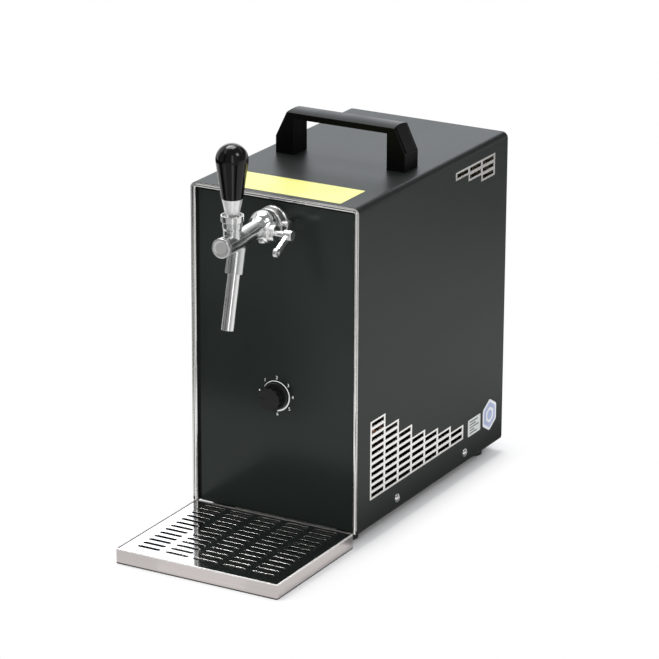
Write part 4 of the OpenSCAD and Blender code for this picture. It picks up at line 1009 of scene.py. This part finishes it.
def standing(name, start, end, level, low=0.0, tint=WHITE):
    """An upright sheet between two points of the floor, from a height up to the top of the room."""
    corners = [(*start, low), (*end, low), (*end, SCREEN_TOP), (*start, SCREEN_TOP)]
    return mirrored_sheet(name, corners, level, tint)


def lying(name, z, level, *corners):
    """A level sheet at a height, through four corners or between two opposite ones."""
    if len(corners) == 2:
        (left, front), (right, rear) = corners
        corners = [(left, front), (right, front), (right, rear), (left, rear)]
    return mirrored_sheet(name, [(x, y, z) for x, y in corners], level)


print("screen helpers ready")

# %% Walls of the room, with flags and a strip in front of them
standing("front_screen", (-2.4, -2.4), (0.9, -2.4), 0.26)
standing("near_screen", (0.9, -2.4), (2.6, -1.2), 0.45)
standing("left_screen", (-2.4, -2.4), (-2.4, -0.6), 0.32)
standing("right_screen", (2.6, -1.2), (2.6, 2.6), 0.30, low=0.25)
standing("rear_glow", (-3.2, 2.6), (-0.3, 2.6), 1.95, low=0.45, tint=REAR_TINT)
standing("rear_screen", (-0.3, 2.6), (2.6, 2.6), 0.12, low=0.8)
standing("front_flag", (-1.30, -2.3), (-0.75, -2.3), 0.004)
standing("near_strip", (1.12, -2.18), (1.48, -1.91), 2.4)
standing("left_flag", (-2.3, -1.3), (-2.3, -0.9), 0.004)
print("walls ready")

# %% Ceiling, and cloths and strips on the floor for the plate, the rim and the vents
lying("ceiling_screen", SCREEN_TOP, 0.30, (-2.4, -2.4), (2.6, 1.9))
lying("left_cloth", CLOTH_Z, 0.02, (-3.0, -2.5), (-1.35, -2.5), (-0.15, -0.35), (-3.0, -0.35))
lying("front_cloth", CLOTH_Z, 0.5, (-1.35, -2.5), (2.6, -2.5), (2.6, -0.35), (-0.15, -0.35))
lying("floor_strip", STRIP_Z, 2.0, (0.26, -0.36), (0.14, -0.42), (0.50, -1.06), (0.62, -1.0))
lying("top_rim_strip", STRIP_Z, 0.6, (-0.66, -0.93), (-0.26, -0.93), (-0.14, -0.62), (-0.54, -0.62))
lying("side_rim_strip", OVER_STRIP_Z, 1.1, (-0.03, -0.2), (0.06, -0.2), (-0.37, -1.02), (-0.47, -1.02))
lying("side_cloth", CLOTH_Z, 0.2, (0.088, -0.08), (0.128, 0.34))
lying("rear_cloth", CLOTH_Z, 0.3, (0.2, 0.80), (1.3, 2.4))
lying("left_far_cloth", CLOTH_Z, 0.05, (-2.6, -0.35), (-0.95, 2.0))
lying("top_panel", PANEL_Z, 9.0, (-1.0, -0.05), (0.1, 0.75))
lying("rim_cloth", OVER_CLOTH_Z, 0.02, (0.24, -0.176), (0.80, -0.48), (0.72, -0.62), (0.21, -0.326))
lying("ceiling_glow", SCREEN_TOP - 0.01, 1.4, (-1.9, -1.8), (-1.0, 0.3))
print("ceiling, cloths and strips ready")

# %% [markdown]
# ### Lamps
# The softboxes above and on the right give the highlights on the lever knob and on the tap. The lamps on
# the left and in front only lift the shadows and the print, so they are kept out of the reflections.

# %% Lamps
LAMP_AIM = Vector((0.0, 0.0, 0.15))


def soft_lamp(name, at, size, power, mirrored=False):
    """A rectangular area lamp that looks at the machine; reflections show it only where asked."""
    lamp = bpy.data.lights.new(name, "AREA")
    lamp.shape = "RECTANGLE"
    lamp.size, lamp.size_y = size
    lamp.energy = power
    made = bpy.data.objects.new(name, lamp)
    made.location = at
    made.rotation_euler = (LAMP_AIM - Vector(at)).to_track_quat("-Z", "Y").to_euler()
    made.visible_glossy = mirrored
    bpy.context.collection.objects.link(made)
    return made


soft_lamp("top_softbox", (-0.45, 0.35, 1.75), (1.1, 0.8), 14.0, mirrored=True)
soft_lamp("left_softbox", (-1.5, -1.2, 1.1), (1.0, 1.2), 12.0)
soft_lamp("front_softbox", (0.3, -2.4, 0.7), (1.2, 1.0), 18.0)
soft_lamp("right_softbox", (1.4, -0.3, 1.7), (0.6, 0.6), 8.0, mirrored=True)
print("lamps ready")

# %% [markdown]
# ## Closing

# %% Finish
print("done")
